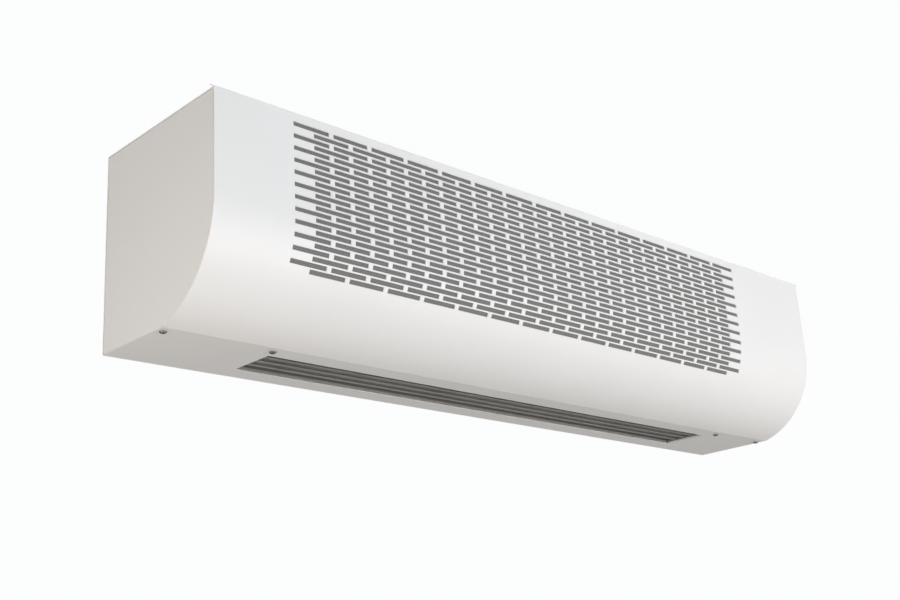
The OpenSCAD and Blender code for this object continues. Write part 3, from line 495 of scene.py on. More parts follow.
CERAMIC = Moulded("white_ceramic", "ceramic_white", (0.74, 0.7, 0.61), (0.8, 0.77, 0.69),
                  roughness=(0.3, 0.42))
BLACK_PLASTIC = Moulded("moulded_black", "black_plastic", (0.022, 0.022, 0.023),
                        (0.032, 0.032, 0.034))
IVORY_PLASTIC = Moulded("moulded_ivory", "ivory_plastic", (0.66, 0.61, 0.47),
                        (0.72, 0.67, 0.53))
RELAY_BLUE = Moulded("relay_case", "relay_blue", (0.012, 0.05, 0.24), (0.018, 0.07, 0.3),
                     roughness=(0.2, 0.3))


# ---- meshes ----


# Points closer than this are one: of a piece made here, and of a copied CAD node.
WELD = 0.001 * MILLIMETRE
NODE_WELD = 0.002 * MILLIMETRE

# Triangles of a CAD node that meet at less than this angle lie in one flat face.
FLAT_ANGLE = radians(0.3)

# Edges from this angle on are sharp, and are rounded with so many facets.
SHARP_ANGLE = radians(40.0)
BEVEL_STEPS = 2


def circle(angle: Array | float) -> Array:
    """Points (cos, sin) of a circle of radius 1 at some angles."""
    return np.stack([np.cos(angle), np.sin(angle)], axis=-1)


def along_x(places: Array | Sequence[float], section: Array) -> Array:
    """Stands a section, or one section for each place, at places along X.

    Args:
        places: The places.
        section: Points (y, z), or such points for each place.

    Returns:
        Points as (place, point, xyz).
    """
    points = np.empty((len(places), section.shape[-2], 3))
    points[..., 0] = np.reshape(places, (-1, 1))
    points[..., 1:] = section
    return points


def cell_corners(ids: Ids) -> Ids:
    """The numbers of the four points round each cell of a grid."""
    return np.stack([ids[:-1, :-1], ids[1:, :-1], ids[1:, 1:], ids[:-1, 1:]], axis=-1)


def ring_faces(count: int, width: int, closed: bool = False) -> list[list[int]]:
    """Quads between neighbouring rings of points, which are numbered ring by ring.

    Args:
        count: Number of rings.
        width: Number of points in a ring.
        closed: Whether the last ring joins the first.

    Returns:
        Four point numbers for each quad.
    """
    ids = np.arange(count * width).reshape(count, width)
    if closed:
        ids = np.concatenate([ids, ids[:1]], axis=0)
    ids = np.concatenate([ids, ids[:, :1]], axis=1)
    return cell_corners(ids).reshape(-1, 4).tolist()


def loft(rings: Array) -> Part:
    """A closed solid through rings of points, with its first and last ring filled.

    Args:
        rings: Points as (ring, point, xyz).

    Returns:
        The points and the faces.
    """
    count, width = rings.shape[:2]
    first = np.arange(width)
    caps = [first[::-1].tolist(), (first + (count - 1) * width).tolist()]
    return rings.reshape(-1, 3), ring_faces(count, width) + caps


def joined(parts: Iterable[Part]) -> Part:
    """Several solids as one list of points and faces."""
    points: list[Array] = []
    faces: list[list[int]] = []
    start = 0
    for part_points, part_faces in parts:
        points.append(part_points)
        faces += [[start + index for index in face] for face in part_faces]
        start += len(part_points)
    return np.concatenate(points), faces


def pierced_sheet(outer: Array, inner: Array, kept: Mask) -> Part:
    """A sheet between two grids of points, with cells left out and walls round every hole.

    A wall stands on each grid line where one neighbouring cell is kept and the other isn't.

    Args:
        outer: Points of the outer face as (column, line, xyz).
        inner: Points of the inner face, in the same order.
        kept: For each cell, whether there is metal.

    Returns:
        The points and the faces.
    """
    columns, lines = outer.shape[:2]
    ids = np.arange(columns * lines).reshape(columns, lines)
    below = ids + columns * lines
    padded = np.pad(kept, 1)
    across = padded[:-1, 1:-1] != padded[1:, 1:-1]
    along = padded[1:-1, :-1] != padded[1:-1, 1:]
    walls_across = np.stack([ids[:, :-1], ids[:, 1:], below[:, 1:], below[:, :-1]], axis=-1)
    walls_along = np.stack([ids[:-1], ids[1:], below[1:], below[:-1]], axis=-1)
    faces = np.concatenate([cell_corners(ids)[kept], cell_corners(below)[kept],
                            walls_across[across], walls_along[along]])
    used, flat = np.unique(faces, return_inverse=True)
    points = np.concatenate([outer.reshape(-1, 3), inner.reshape(-1, 3)])[used]
    return points, flat.reshape(-1, 4).tolist()


def folded_edge(fold: float, sheet: float, reach: float, steps: int) -> Array:
    """The section of a sheet's edge that is folded square to the flat.

    Over the fold a point lies r (1 - sin t) inside the folded edge's outer face and
    r (1 - cos t) off the flat's, for t from 0 on the flat to a right angle on the edge. The
    inner faces have the radius less the sheet.

    Args:
        fold: Outer radius of the fold.
        sheet: Thickness of the sheet.
        reach: How far the edge stands off the flat's outer face.
        steps: Points over the fold.

    Returns:
        Points (inside, off), from the outer face over the end of the edge to the inner face.
    """
    bend = circle(np.linspace(0, pi / 2, steps))[:, ::-1]
    inner = fold - (fold - sheet) * bend
    return np.vstack([fold * (1 - bend), [0, reach], [sheet, reach], inner[::-1]])


def lathe(profile: Array, steps: int) -> Array:
    """Turns a profile about Z: (r cos t, r sin t, z) for t over the full circle.

    Args:
        profile: Points (r, z).
        steps: Points round the circle.

    Returns:
        Rings of points as (profile point, step, xyz).
    """
    turn = np.linspace(0, 2 * pi, steps, endpoint=False)
    radius, height = profile[:, :1], profile[:, 1:]
    return np.stack([radius * np.cos(turn), radius * np.sin(turn),
                     np.broadcast_to(height, (len(profile), steps))], axis=-1)


def mesh_points(mesh: bpy.types.Mesh) -> Array:
    """The points (x, y, z) of a mesh."""
    points = np.empty(len(mesh.vertices) * 3)
    mesh.vertices.foreach_get("co", points)
    return points.reshape(-1, 3)


def node_copy(node: str) -> Part:
    """The points and faces of a CAD node, its loose triangles welded and flat ones merged."""
    weld = bmesh.new()
    weld.from_mesh(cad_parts[node].data)
    bmesh.ops.remove_doubles(weld, verts=weld.verts, dist=NODE_WELD)
    bmesh.ops.dissolve_limit(weld, angle_limit=FLAT_ANGLE, verts=weld.verts, edges=weld.edges,
                             delimit=set())
    mesh = bpy.data.meshes.new("scratch")
    weld.to_mesh(mesh)
    weld.free()
    points = mesh_points(mesh)
    faces = [list(face.vertices) for face in mesh.polygons]
    bpy.data.meshes.remove(mesh)
    return points, faces


def soften(piece: bpy.types.Object, bevel: float) -> None:
    """Shades a piece smooth and rounds its sharp edges, with flat faces kept flat.

    Args:
        piece: The object.
        bevel: Width of the rounding, or 0 for none.
    """
    mesh = piece.data
    mesh.polygons.foreach_set("use_smooth", np.ones(len(mesh.polygons), bool))
    if bevel > 0:
        edge = piece.modifiers.new("rounded_edges", "BEVEL")
        edge.width = bevel
        edge.segments = BEVEL_STEPS
        edge.limit_method = "ANGLE"
        edge.angle_limit = SHARP_ANGLE
    else:
        mesh.set_sharp_from_angle(angle=SHARP_ANGLE)
    flat = piece.modifiers.new("flat_faces", "WEIGHTED_NORMAL")
    flat.keep_sharp = bevel == 0


def finished(name: str, part: Part, finish: Finish, replaced: str, bevel: float = 0.0,
             body: str = "chassis") -> bpy.types.Object:
    """Makes an object of a solid, welds it, turns its faces outwards and dresses it.

    Args:
        name: The piece's name.
        part: Points and faces.
        finish: Its finish.
        replaced: The node that it stands for.
        bevel: Width of the rounding along its sharp edges, or 0.
        body: The body that it rides on.

    Returns:
        The object.
    """
    points, faces = part
    mesh = bpy.data.meshes.new(name)
    mesh.from_pydata(points.tolist(), [], faces)
    weld = bmesh.new()
    weld.from_mesh(mesh)
    bmesh.ops.remove_doubles(weld, verts=weld.verts, dist=WELD)
    bmesh.ops.recalc_face_normals(weld, faces=weld.faces)
    weld.to_mesh(mesh)
    weld.free()
    mesh.materials.append(finish.build())
    piece = bpy.data.objects.new(name, mesh)
    bpy.context.scene.collection.objects.link(piece)
    soften(piece, bevel)
    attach(piece, body)
    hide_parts(replaced)
    LOG.info("%s: %d faces, %s", name, len(mesh.polygons), finish.name)
    return piece


@dataclass(frozen=True)
class Dressed:
    """A CAD node that keeps its shape: its finish, and the rounding of its edges."""

    node: str
    finish: Finish
    bevel_mm: float
    body: str = "chassis"

    def build(self) -> None:
        """Makes the welded copy that stands for the node, under a maker's name for it."""
        finished(f"{self.node}_piece", node_copy(self.node), self.finish, self.node,
                 self.bevel_mm * MILLIMETRE, self.body)


# ---- the case ----


@dataclass(frozen=True)
class CaseFrame:
    """The planes of the case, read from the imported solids, and the sizes of its folds."""

    left: float
    right: float
    front: float
    back: float
    bottom: float
    top: float
    sheet: float = 1.2 * MILLIMETRE
    seam: float = 0.4 * MILLIMETRE
    rim: float = 14 * MILLIMETRE
    arc_radius: float = 118 * MILLIMETRE
    crease_depth: float = 90 * MILLIMETRE
    arc_steps: int = 40

    @classmethod
    def measured(cls) -> "CaseFrame":
        """Reads the planes from the boxes of the cover, the end plates and the underside."""
        cover_low, cover_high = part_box("front_cover")
        left_low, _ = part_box("left_end_plate")
        _, right_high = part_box("right_end_plate")
        panel_low, panel_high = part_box("bottom_panel")
        return cls(left_low.x, right_high.x, cover_low.y, panel_high.y, panel_low.z, cover_high.z)

    @property
    def crease(self) -> float:
        """Y of the crease where the curved front meets the underside."""
        return self.front + self.crease_depth

    @property
    def arc_y(self) -> float:
        """Y of the middle of the curve."""
        return self.front + self.arc_radius

    @property
    def arc_height(self) -> float:
        """Height of the curve's middle over the underside: sqrt(R^2 - (R - crease depth)^2)."""
        return sqrt(self.arc_radius**2 - (self.arc_radius - self.crease_depth) ** 2)

    @property
    def arc_z(self) -> float:
        """Z of the middle of the curve."""
        return self.bottom + self.arc_height

    @property
    def arc_angle(self) -> float:
        """Angle of the whole curve: asin(height of its middle / R)."""
        return asin(self.arc_height / self.arc_radius)

    @property
    def flat(self) -> float:
        """Height of the flat front, from the top down to the curve."""
        return self.top - self.arc_z

    def face(self, down: Array, inset: float) -> Array:
        """The front of the case, or a face at a distance inside it.

        On the flat front z = top - down. On the curve the angle is (down - flat) / R, and the
        face is the middle of the curve plus (R - inset) (-cos, -sin).

        Args:
            down: Distances from the top down the outer face.
            inset: Distance inside it.

        Returns:
            Points (y, z).
        """
        angle = np.maximum(0, down - self.flat) / self.arc_radius
        height = np.maximum(self.top - down, self.arc_z)
        middle = np.stack([np.full_like(down, self.arc_y), height], axis=-1)
        return middle - (self.arc_radius - inset) * circle(angle)

    def way_down(self, points: Array) -> Array:
        """The distance down the outer face at which points (x, y, z) near it lie."""
        depth, drop = self.arc_y - points[:, 1], self.arc_z - points[:, 2]
        round_curve = self.arc_radius * np.arctan2(drop, depth)
        return self.flat + np.where(drop < 0, drop, round_curve)

    def outline(self, front: float, rest: float, top: float) -> Array:
        """The case seen from its end, drawn in by a distance at each side.

        Args:
            front: Distance inside the front sheet and the curve.
            rest: Distance inside the back and the underside.
            top: Distance under the top.

        Returns:
            Points (y, z) from the upper front corner down the curve and round.
        """
        radius = self.arc_radius - front
        end = asin((self.arc_height - rest) / radius)
        turn = np.linspace(0, end, self.arc_steps + 1)
        curve = np.array([self.arc_y, self.arc_z]) - radius * circle(turn)
        upper_front = [self.front + front, self.top - top]
        lower_back = [self.back - rest, self.bottom + rest]
        upper_back = [self.back - rest, self.top - top]
        return np.vstack([upper_front, curve, lower_back, upper_back])


@dataclass(frozen=True)
class FrontCover:
    """The folded cover with its grille of staggered slots over the flat front and the curve.

    The cover is a grid: its lines run along X at places down the sheet, and its columns run
    down the sheet at places along X. A slot is a group of cells that are left out.
    """

    case: CaseFrame
    top_flange: float = 34 * MILLIMETRE
    top_inset: float = 5 * MILLIMETRE
    low_flange: float = 22 * MILLIMETRE
    top_fold: float = 1.8 * MILLIMETRE
    crease_fold: float = 0.6 * MILLIMETRE
    inner_crease_start: float = 0.15
    ear: float = 4 * MILLIMETRE
    ear_width: float = 2.4 * MILLIMETRE
    ear_tip: float = 0.5
    slot_length: float = 47.4 * MILLIMETRE
    slot_height: float = 5.1 * MILLIMETRE
    slot_pitch: float = 53.3 * MILLIMETRE
    row_pitch: float = 6.88 * MILLIMETRE
    rows: int = 24
    row_slots: int = 15
    first_slot: float = 121.5 * MILLIMETRE
    first_row: float = 13.4 * MILLIMETRE
    web_steps: int = 3
    slot_steps: int = 2
    fold_steps: int = 6
    tail_steps: int = 12
    column_decimals: int = 7
    edge: float = 0.08 * MILLIMETRE

    def row_lines(self) -> tuple[Array, Ids]:
        """The lines across the sheet that bound the rows of slots and the webs between them.

        Returns:
            The distances down the sheet, and for each band between two of them its row of
            slots, or -1 for a web.
        """
        rows = np.arange(self.rows)
        starts = self.first_row + rows * self.row_pitch - self.slot_height / 2
        ends = starts + self.slot_height
        before = np.concatenate([[self.top_fold], ends[:-1]])
        webs = np.linspace(before, starts, self.web_steps, endpoint=False, axis=1)
        slots = np.linspace(starts, ends, self.slot_steps, endpoint=False, axis=1)
        angle = self.case.arc_angle
        reach = self.crease_fold * tan((pi - angle) / 2)
        end = self.case.flat + self.case.arc_radius * angle - reach
        tail = np.linspace(ends[-1], end, self.tail_steps + 1)
        row_of = np.hstack([np.full((self.rows, self.web_steps), -1),
                            np.repeat(rows[:, None], self.slot_steps, axis=1)]).ravel()
        lines = np.concatenate([np.hstack([webs, slots]).ravel(), tail])
        return lines, np.concatenate([row_of, np.full(self.tail_steps, -1)])

    def crease_points(self) -> tuple[Array, Array]:
        """The fold from the curve up to the flange inside the case.

        The outer face is an arc of the fold's radius that touches the end of the curve and the
        upright plane at the crease. The inner face runs straight to the top of the flange.

        Returns:
            Points (y, z) of the outer face and of the inner face.
        """
        case, radius, angle = self.case, self.crease_fold, self.case.arc_angle
        middle = np.array([case.crease - radius,
                           case.bottom + radius * (1 + cos(angle)) / sin(angle)])
        fold = middle + radius * circle(np.linspace(angle - pi, 0, self.fold_steps)[1:])
        joggle = [case.crease, case.bottom + case.sheet]
        end_y = case.crease + self.low_flange
        outer = np.vstack([fold, joggle, [end_y, case.bottom + case.sheet]])
        reach = case.arc_radius - case.sheet
        curve_end = np.array([case.arc_y, case.arc_z]) - reach * circle(angle)
        over_flange = np.array([case.crease + case.sheet, case.bottom + 2 * case.sheet])
        share = np.linspace(self.inner_crease_start, 1, len(fold) + 1)[:, None]
        inner = np.vstack([curve_end + share * (over_flange - curve_end),
                           [end_y, case.bottom + 2 * case.sheet]])
        return outer, inner

    def profile(self) -> tuple[Array, Array, Ids]:
        """The cover seen from its end: top flange, fold, skin, crease and lower flange.

        Returns:
            Points (y, z) of the outer face and of the inner face, and for each band between
            two of them its row of slots, or -1.
        """
        case = self.case
        bend = circle(np.linspace(pi / 2, pi, self.fold_steps))
        fold_middle = np.array([case.front + self.top_fold, case.top - self.top_fold])
        flange_y = [case.front + self.top_flange, case.front + self.ear_width]
        flange = np.stack([flange_y, np.full(2, case.top)], axis=-1)
        down, row_of = self.row_lines()
        crease_outer, crease_inner = self.crease_points()
        outer = np.vstack([flange, fold_middle + self.top_fold * bend,
                           case.face(down[1:], 0), crease_outer])
        inner = np.vstack([flange - [0, case.sheet],
                           fold_middle + (self.top_fold - case.sheet) * bend,
                           case.face(down[1:], case.sheet), crease_inner])
        row = np.full(len(outer) - 1, -1)
        skin_start = 1 + self.fold_steps
        row[skin_start:skin_start + len(row_of)] = row_of
        return outer, inner, row

    def columns(self) -> Array:
        """The X of the ends of the slots, the flanges, the case and the ears.

        They are rounded, so that those that are equal fall together.
        """
        case = self.case
        half_pitches = np.arange(2 * self.row_slots - 1) * self.slot_pitch / 2
        centres = case.left + self.first_slot + half_pitches
        edges = np.concatenate([centres - self.slot_length / 2, centres + self.slot_length / 2])
        inward = np.array([-self.ear, 0, self.top_inset, self.low_inset])
        ends = np.concatenate([case.left + inward, case.right - inward])
        return np.unique(np.round(np.concatenate([edges, ends]), self.column_decimals))

    @property
    def low_inset(self) -> float:
        """Distance from the end of the case at which the lower flange starts."""
        return self.case.rim + 2 * self.case.sheet

    def metal(self, columns: Array, row: Ids) -> Mask:
        """Which cells of the grid are metal.

        A cell is in a slot if its middle lies within half a slot's length of the nearest slot
        of its row. Every other row is shifted by half a pitch and has one slot less. Past the
        ends of the case only the ears are left, and both flanges stop short of the ends.

        Args:
            columns: X of the columns.
            row: For each band its row of slots, or -1.

        Returns:
            A truth value for each cell, as (column, band).
        """
        case = self.case
        middle = (columns[:-1] + columns[1:]) / 2
        shift = (row % 2) / 2
        along = (middle[:, None] - case.left - self.first_slot) / self.slot_pitch - shift
        nearest = np.round(along)
        in_slot = np.abs(along - nearest) * self.slot_pitch < self.slot_length / 2
        in_row = (nearest >= 0) & (nearest < self.row_slots - 2 * shift)
        kept = ~(in_slot & in_row & (row >= 0))
        to_end = np.minimum(middle - case.left, case.right - middle)
        kept[to_end < 0] = False
        kept[to_end < 0, 1:1 + self.fold_steps] = True
        kept[to_end < self.top_inset, 0] = False
        kept[to_end < self.low_inset, -2:] = False
        return kept

    def spread(self, columns: Array, profile: Array) -> Array:
        """Carries a profile along X, with the ears drawn in towards their tips.

        Args:
            columns: X of the columns.
            profile: Points (y, z).

        Returns:
            Points as (column, line, xyz).
        """
        points = along_x(columns, profile)
        root = np.array([self.case.front + self.top_fold, self.case.top])
        fold = slice(1, 1 + self.fold_steps)
        ear = points[[0, -1], fold, 1:]
        points[[0, -1], fold, 1:] = root + self.ear_tip * (ear - root)
        return points

    def build(self) -> None:
        """Makes the cover."""
        outer, inner, row = self.profile()
        columns = self.columns()
        part = pierced_sheet(self.spread(columns, outer), self.spread(columns, inner),
                             self.metal(columns, row))
        finished("slotted_front_cover", part, CASE_COAT, "front_cover", self.edge)


@dataclass(frozen=True)
class IntakeScreen:
    """The fine wire mesh that lies against the inside of the cover, behind its slots."""

    case: CaseFrame
    thickness: float = 0.8 * MILLIMETRE
    lines: int = 48

    def build(self) -> None:
        """Bends a sheet along the inside of the cover and maps its surface.

        The map holds X, and the distance down the cover.
        """
        case = self.case
        low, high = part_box("intake_screen")
        end = case.flat + case.arc_radius * asin((case.arc_z - low.z) / case.arc_radius)
        down = np.linspace(case.top - high.z, end, self.lines)
        faces = [along_x((low.x, high.x), case.face(down, inset))
                 for inset in (case.sheet, case.sheet + self.thickness)]
        kept = np.ones((1, self.lines - 1), bool)
        piece = finished("intake_mesh", pierced_sheet(*faces, kept), SCREEN_WIRE, "intake_screen")
        mesh = piece.data
        corners = np.empty(len(mesh.loops), np.int32)
        mesh.loops.foreach_get("vertex_index", corners)
        points = mesh_points(mesh)
        surface = np.stack([points[:, 0], case.way_down(points)], axis=-1)
        mesh.uv_layers.new(name="surface").data.foreach_set("uv", surface[corners].ravel())


@dataclass(frozen=True)
class EndPlate:
    """A pressed end plate: a flat face, a rounded fold and a rim inside the case."""

    case: CaseFrame
    side: Side
    fold: float = 1.5 * MILLIMETRE
    fold_steps: int = 6
    edge: float = 0.12 * MILLIMETRE

    def build(self) -> None:
        """Lofts rings of the case's outline over the face, the fold and the rim."""
        case = self.case
        section = folded_edge(self.fold, case.sheet, case.rim, self.fold_steps)
        gap = case.sheet + case.seam
        outlines = [case.outline(gap + inset, case.sheet + inset, 2 * case.sheet + inset)
                    for inset in section[:, 0]]
        end = case.left if self.side is Side.LEFT else case.right
        rings = along_x(end - self.side.value * section[:, 1], np.array(outlines))
        name = f"{self.side.name.lower()}_end"
        finished(f"{name}_pressing", loft(rings), CASE_COAT, f"{name}_plate", self.edge)


@dataclass(frozen=True)
class BottomPanel:
    """The underside, with a rounded lip folded up along the front and the ends of the outlet."""

    case: CaseFrame
    lip: float = 3 * MILLIMETRE
    lip_end: float = 4 * MILLIMETRE
    fold: float = 1.7 * MILLIMETRE
    fold_steps: int = 7
    edge: float = 0.2 * MILLIMETRE

    def build(self) -> None:
        """Joins level rings in a closed round: underside, fold, lip, and back over the top.

        The last two points of a ring keep to the plain rear edge of the outlet, where the lip
        runs out.
        """
        case = self.case
        low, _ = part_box("vane_bracket_left")
        _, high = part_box("vane_bracket_right")
        section = folded_edge(self.fold, case.sheet, self.lip, self.fold_steps)
        wider, height = section.T
        rear_height = np.where(np.arange(len(section)) < self.fold_steps, 0, case.sheet)
        outlet = panel_rings((low.x, high.x, low.y, high.y - self.lip_end, high.y),
                             wider, case.bottom + height, case.bottom + rear_height)
        levels = case.bottom + np.array([0, case.sheet])
        outside = panel_rings((case.left, case.right, case.crease + case.seam,
                               high.y - self.lip_end, case.back), np.zeros(2), levels, levels)
        rings = np.concatenate([outside[:1], outlet, outside[1:]])
        faces = ring_faces(*rings.shape[:2], closed=True)
        finished("outlet_panel", (rings.reshape(-1, 3), faces), CASE_COAT, "bottom_panel",
                 self.edge)


def panel_rings(sides: tuple[float, float, float, float, float], wider: Array, height: Array,
                rear_height: Array) -> Array:
    """Rings of six points round the outlet or round the panel.

    Args:
        sides: X of the two ends, and Y of the front, of the lip's rear end and of the rear.
        wider: Distance of each ring outside those sides, but for its two rear points.
        height: Z of each ring.
        rear_height: Z of its two rear points.

    Returns:
        Points as (ring, point, xyz).
    """
    left, right, front, mid, rear = sides
    plain = np.zeros_like(wider)
    corners = [(left - wider, front - wider, height), (right + wider, front - wider, height),
               (right + wider, mid + plain, height), (right + plain, rear + plain, rear_height),
               (left + plain, rear + plain, rear_height), (left - wider, mid + plain, height)]
    return np.stack([np.stack(corner, axis=-1) for corner in corners], axis=1)


@dataclass(frozen=True)
class PanScrew:
    """A pan head screw with a cross recess, standing on a sheet."""

    head_radius: float = 4 * MILLIMETRE
    head_height: float = 2.4 * MILLIMETRE
    crown_power: float = 4
    shank_radius: float = 2 * MILLIMETRE
    shank_length: float = 9 * MILLIMETRE
    recess_reach: float = 2.3 * MILLIMETRE
    recess_width: float = 1.15 * MILLIMETRE
    recess_depth: float = 1.3 * MILLIMETRE
    wall_slope: float = 0.22 * MILLIMETRE
    radial_steps: int = 34
    radial_power: float = 0.85
    turn_steps: int = 96

    def build(self, base: Point, downwards: bool, turned: float) -> Part:
        """Shapes one screw.

        The head's height is h sqrt(1 - (r / R)^p), less the depth of the recess where the
        larger of two crossed bars is: a bar is the product of two soft steps, one over its
        width and one over its reach. The rings crowd a little towards the rim.

        Args:
            base: Where the axis meets the sheet.
            downwards: Whether the head points down.
            turned: Angle of the recess in radians.

        Returns:
            The screw's points and faces.
        """
        radius = self.head_radius * np.linspace(0, 1, self.radial_steps) ** self.radial_power
        dome = self.head_height * np.sqrt(1 - (radius / self.head_radius) ** self.crown_power)
        shank = [[self.shank_radius, 0], [self.shank_radius, -self.shank_length],
                 [0, -self.shank_length - self.shank_radius / 2]]
        points = lathe(np.vstack([np.stack([radius, dome], -1), shank]), self.turn_steps)
        head = points[:self.radial_steps]
        u = head[..., 0] * cos(turned) + head[..., 1] * sin(turned)
        v = head[..., 1] * cos(turned) - head[..., 0] * sin(turned)
        head[..., 2] -= self.recess_depth * np.maximum(self.bar(u, v), self.bar(v, u))
        flip = -1 if downwards else 1
        return loft(points * [1, flip, flip] + np.asarray(base))

    def bar(self, reach: Array, width: Array) -> Array:
        """One bar of the recess, 1 inside and 0 outside, with sloping walls."""
        inside_width = (self.recess_width / 2 - np.abs(width)) / self.wall_slope
        inside_reach = (self.recess_reach - np.abs(reach)) / self.wall_slope
        return np.clip(inside_width, 0, 1) * np.clip(inside_reach, 0, 1)


@dataclass(frozen=True)
class CaseScrews:
    """The screws of one node, each set over the solid that it stands for."""

    node: str
    downwards: bool
    screw: PanScrew = PanScrew()
    turns: tuple[float, ...] = (0.5, 1.1, 0.2, 0.8)

    def build(self) -> None:
        """Finds the axes of the screws in the node's points and makes a screw on each."""
        points = mesh_points(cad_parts[self.node].data)
        along = np.sort(points[:, 0])
        gaps = np.flatnonzero(np.diff(along) > self.screw.head_radius)
        starts, ends = along[np.r_[0, gaps + 1]], along[np.r_[gaps, len(along) - 1]]
        y = (points[:, 1].min() + points[:, 1].max()) / 2
        head = self.screw.head_height
        z = points[:, 2].min() + head if self.downwards else points[:, 2].max() - head
        screws = [self.screw.build((x, y, z), self.downwards, turn)
                  for x, turn in zip((starts + ends) / 2, self.turns)]
        finished(f"{self.node}_pan_heads", joined(screws), SCREW_PLATING, self.node)


@dataclass(frozen=True)
class Case:
    """The outer case: cover, end plates, panels and their screws."""

    shape: CaseFrame
    panel_bevel_mm: float = 0.25

    def build(self) -> None:
        """Makes every piece of the case."""
        FrontCover(self.shape).build()
        IntakeScreen(self.shape).build()
        for side in Side:
            EndPlate(self.shape, side).build()
        BottomPanel(self.shape).build()
        CaseScrews("bottom_screws", downwards=True).build()
        CaseScrews("top_screws", downwards=False).build()
        for node in ("top_panel", "rear_panel"):
            Dressed(node, CASE_COAT, self.panel_bevel_mm).build()


# ---- the outlet ----


@dataclass(frozen=True)
class Outlet:
    """The guide vanes of the outlet, each a strip with a rolled bead along its lower edge."""

    bead: float = 1.6 * MILLIMETRE
    blade: float = 1.4 * MILLIMETRE
    count: int = 3
    bead_steps: int = 18
    top_steps: int = 6
    edge: float = 0.1 * MILLIMETRE
    bracket_bevel_mm: float = 0.15

    def section(self, height: float) -> Array:
        """The closed outline of a vane about its lower middle.

        The bead is a circle of radius b round (0, b), open where the blade leaves it, and the
        upper edge is a half circle of half the blade's thickness.

        Args:
            height: Height of the vane.

        Returns:
            Points (y, z).
        """
        half = self.blade / 2
        root = asin(half / self.bead)
        low = np.linspace(pi / 2 - root, -3 * pi / 2 + root, self.bead_steps)
        bead = self.bead * circle(low) + [0, self.bead]
        top = half * circle(np.linspace(pi, 0, self.top_steps)) + [0, height - half]
        return np.vstack([bead, top])

    def build(self) -> None:
        """Makes the vanes and their brackets."""
        low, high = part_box("outlet_vanes")
        section = self.section(high.z - low.z)
        vanes = [loft(along_x((low.x, high.x), section + [y, low.z]))
                 for y in np.linspace(low.y + self.bead, high.y - self.bead, self.count)]
        finished("guide_vanes", joined(vanes), VANE_ALUMINIUM, "outlet_vanes", self.edge)
        for side in Side:
            Dressed(f"vane_bracket_{side.name.lower()}", VANE_ALUMINIUM,
                    self.bracket_bevel_mm).build()


# ---- what stands inside the case ----


@dataclass(frozen=True)
class Assembly:
    """A group of CAD nodes that keep their shape."""

    name: str
    pieces: tuple[Dressed, ...]

    def build(self) -> None:
        """Makes the group's pieces."""
        LOG.info("%s", self.name)
        for piece in self.pieces:
            piece.build()


AIR_DUCT = Assembly("air duct", (
    Dressed("left_side_wall", ZINC, 0.2), Dressed("right_side_wall", ZINC, 0.2),
    Dressed("scroll_plate", ZINC, 0.2), Dressed("edge_plate", ZINC, 0.2)))
FAN = Assembly("fan", (
    Dressed("fan_wheel", WHEEL_ALUMINIUM, 0, "rotor"),
    Dressed("wheel_hub", HUB_BRASS, 0.4, "rotor"),
    Dressed("stub_shaft", SHAFT_STEEL, 0.3, "rotor"), Dressed("bearing_bush", BUSH_BRONZE, 0.3),
    Dressed("bearing_rubber", RUBBER, 0.5)))
MOTOR = Assembly("motor", (
    Dressed("motor_housing", MOTOR_PAINT, 0.6), Dressed("motor_cap", MOTOR_PAINT, 0.6),
    Dressed("motor_stator", CORE_IRON, 0.2), Dressed("motor_rotor", SHAFT_STEEL, 0.3, "rotor"),
    Dressed("motor_rubbers", RUBBER, 0.4), Dressed("motor_bracket", BARE_PLATING, 0.3),
    Dressed("foot_studs", BARE_PLATING, 0.3), Dressed("foot_nuts", BARE_PLATING, 0.3)))
HEATER = Assembly("heater", (
    Dressed("heating_rods", ROD_STEEL, 0), Dressed("rod_insulators", CERAMIC, 0.6),
    Dressed("rod_terminals", BARE_PLATING, 0.25),
    Dressed("overheat_switch", BLACK_PLASTIC, 0.3)))
ELECTRICS = Assembly("electrics", (
    Dressed("terminal_block", IVORY_PLASTIC, 0.4), Dressed("circuit_board", BOARD_GREEN, 0.1),
    Dressed("board_spacers", IVORY_PLASTIC, 0.3), Dressed("relays", RELAY_BLUE, 0.5),
    Dressed("capacitor", CAN_ALUMINIUM, 1.2), Dressed("capacitor_clip", BARE_PLATING, 0.2),
    Dressed("cable_gland", BLACK_PLASTIC, 0.5), Dressed("gland_nut", BLACK_PLASTIC, 0.4),
    Dressed("earth_bolt", HUB_BRASS, 0.3)))
WALL_MOUNT = Assembly("wall mount", (
    Dressed("wall_bracket_left", HOOK_STEEL, 0.3),
    Dressed("wall_bracket_right", HOOK_STEEL, 0.3)))


# ---- the studio ----


# A little yellow and a little blue, for the lamps that light the front and the left end.
WARM = (1.08, 1.0, 0.92)
COOL = (0.8, 0.98, 1.22)


@dataclass(frozen=True)
class Lamp:
    """A soft box: where it hangs, what it faces, its size in metres and its power in watts."""

    name: str
    place: Point
    target: Point
    width: float
    height: float
    watts: float
    tint: Colour = (1.0, 1.0, 1.0)

    def build(self) -> None:
        """Makes the lamp."""
        light = bpy.data.lights.new(self.name, "AREA")
        light.shape = "RECTANGLE"
        light.size = self.width
        light.size_y = self.height
        light.energy = self.watts
        light.color = self.tint
        lamp = bpy.data.objects.new(self.name, light)
        bpy.context.scene.collection.objects.link(lamp)
        lamp.location = self.place
        facing = Vector(self.target) - Vector(self.place)
        lamp.rotation_euler = facing.to_track_quat("-Z", "Y").to_euler()


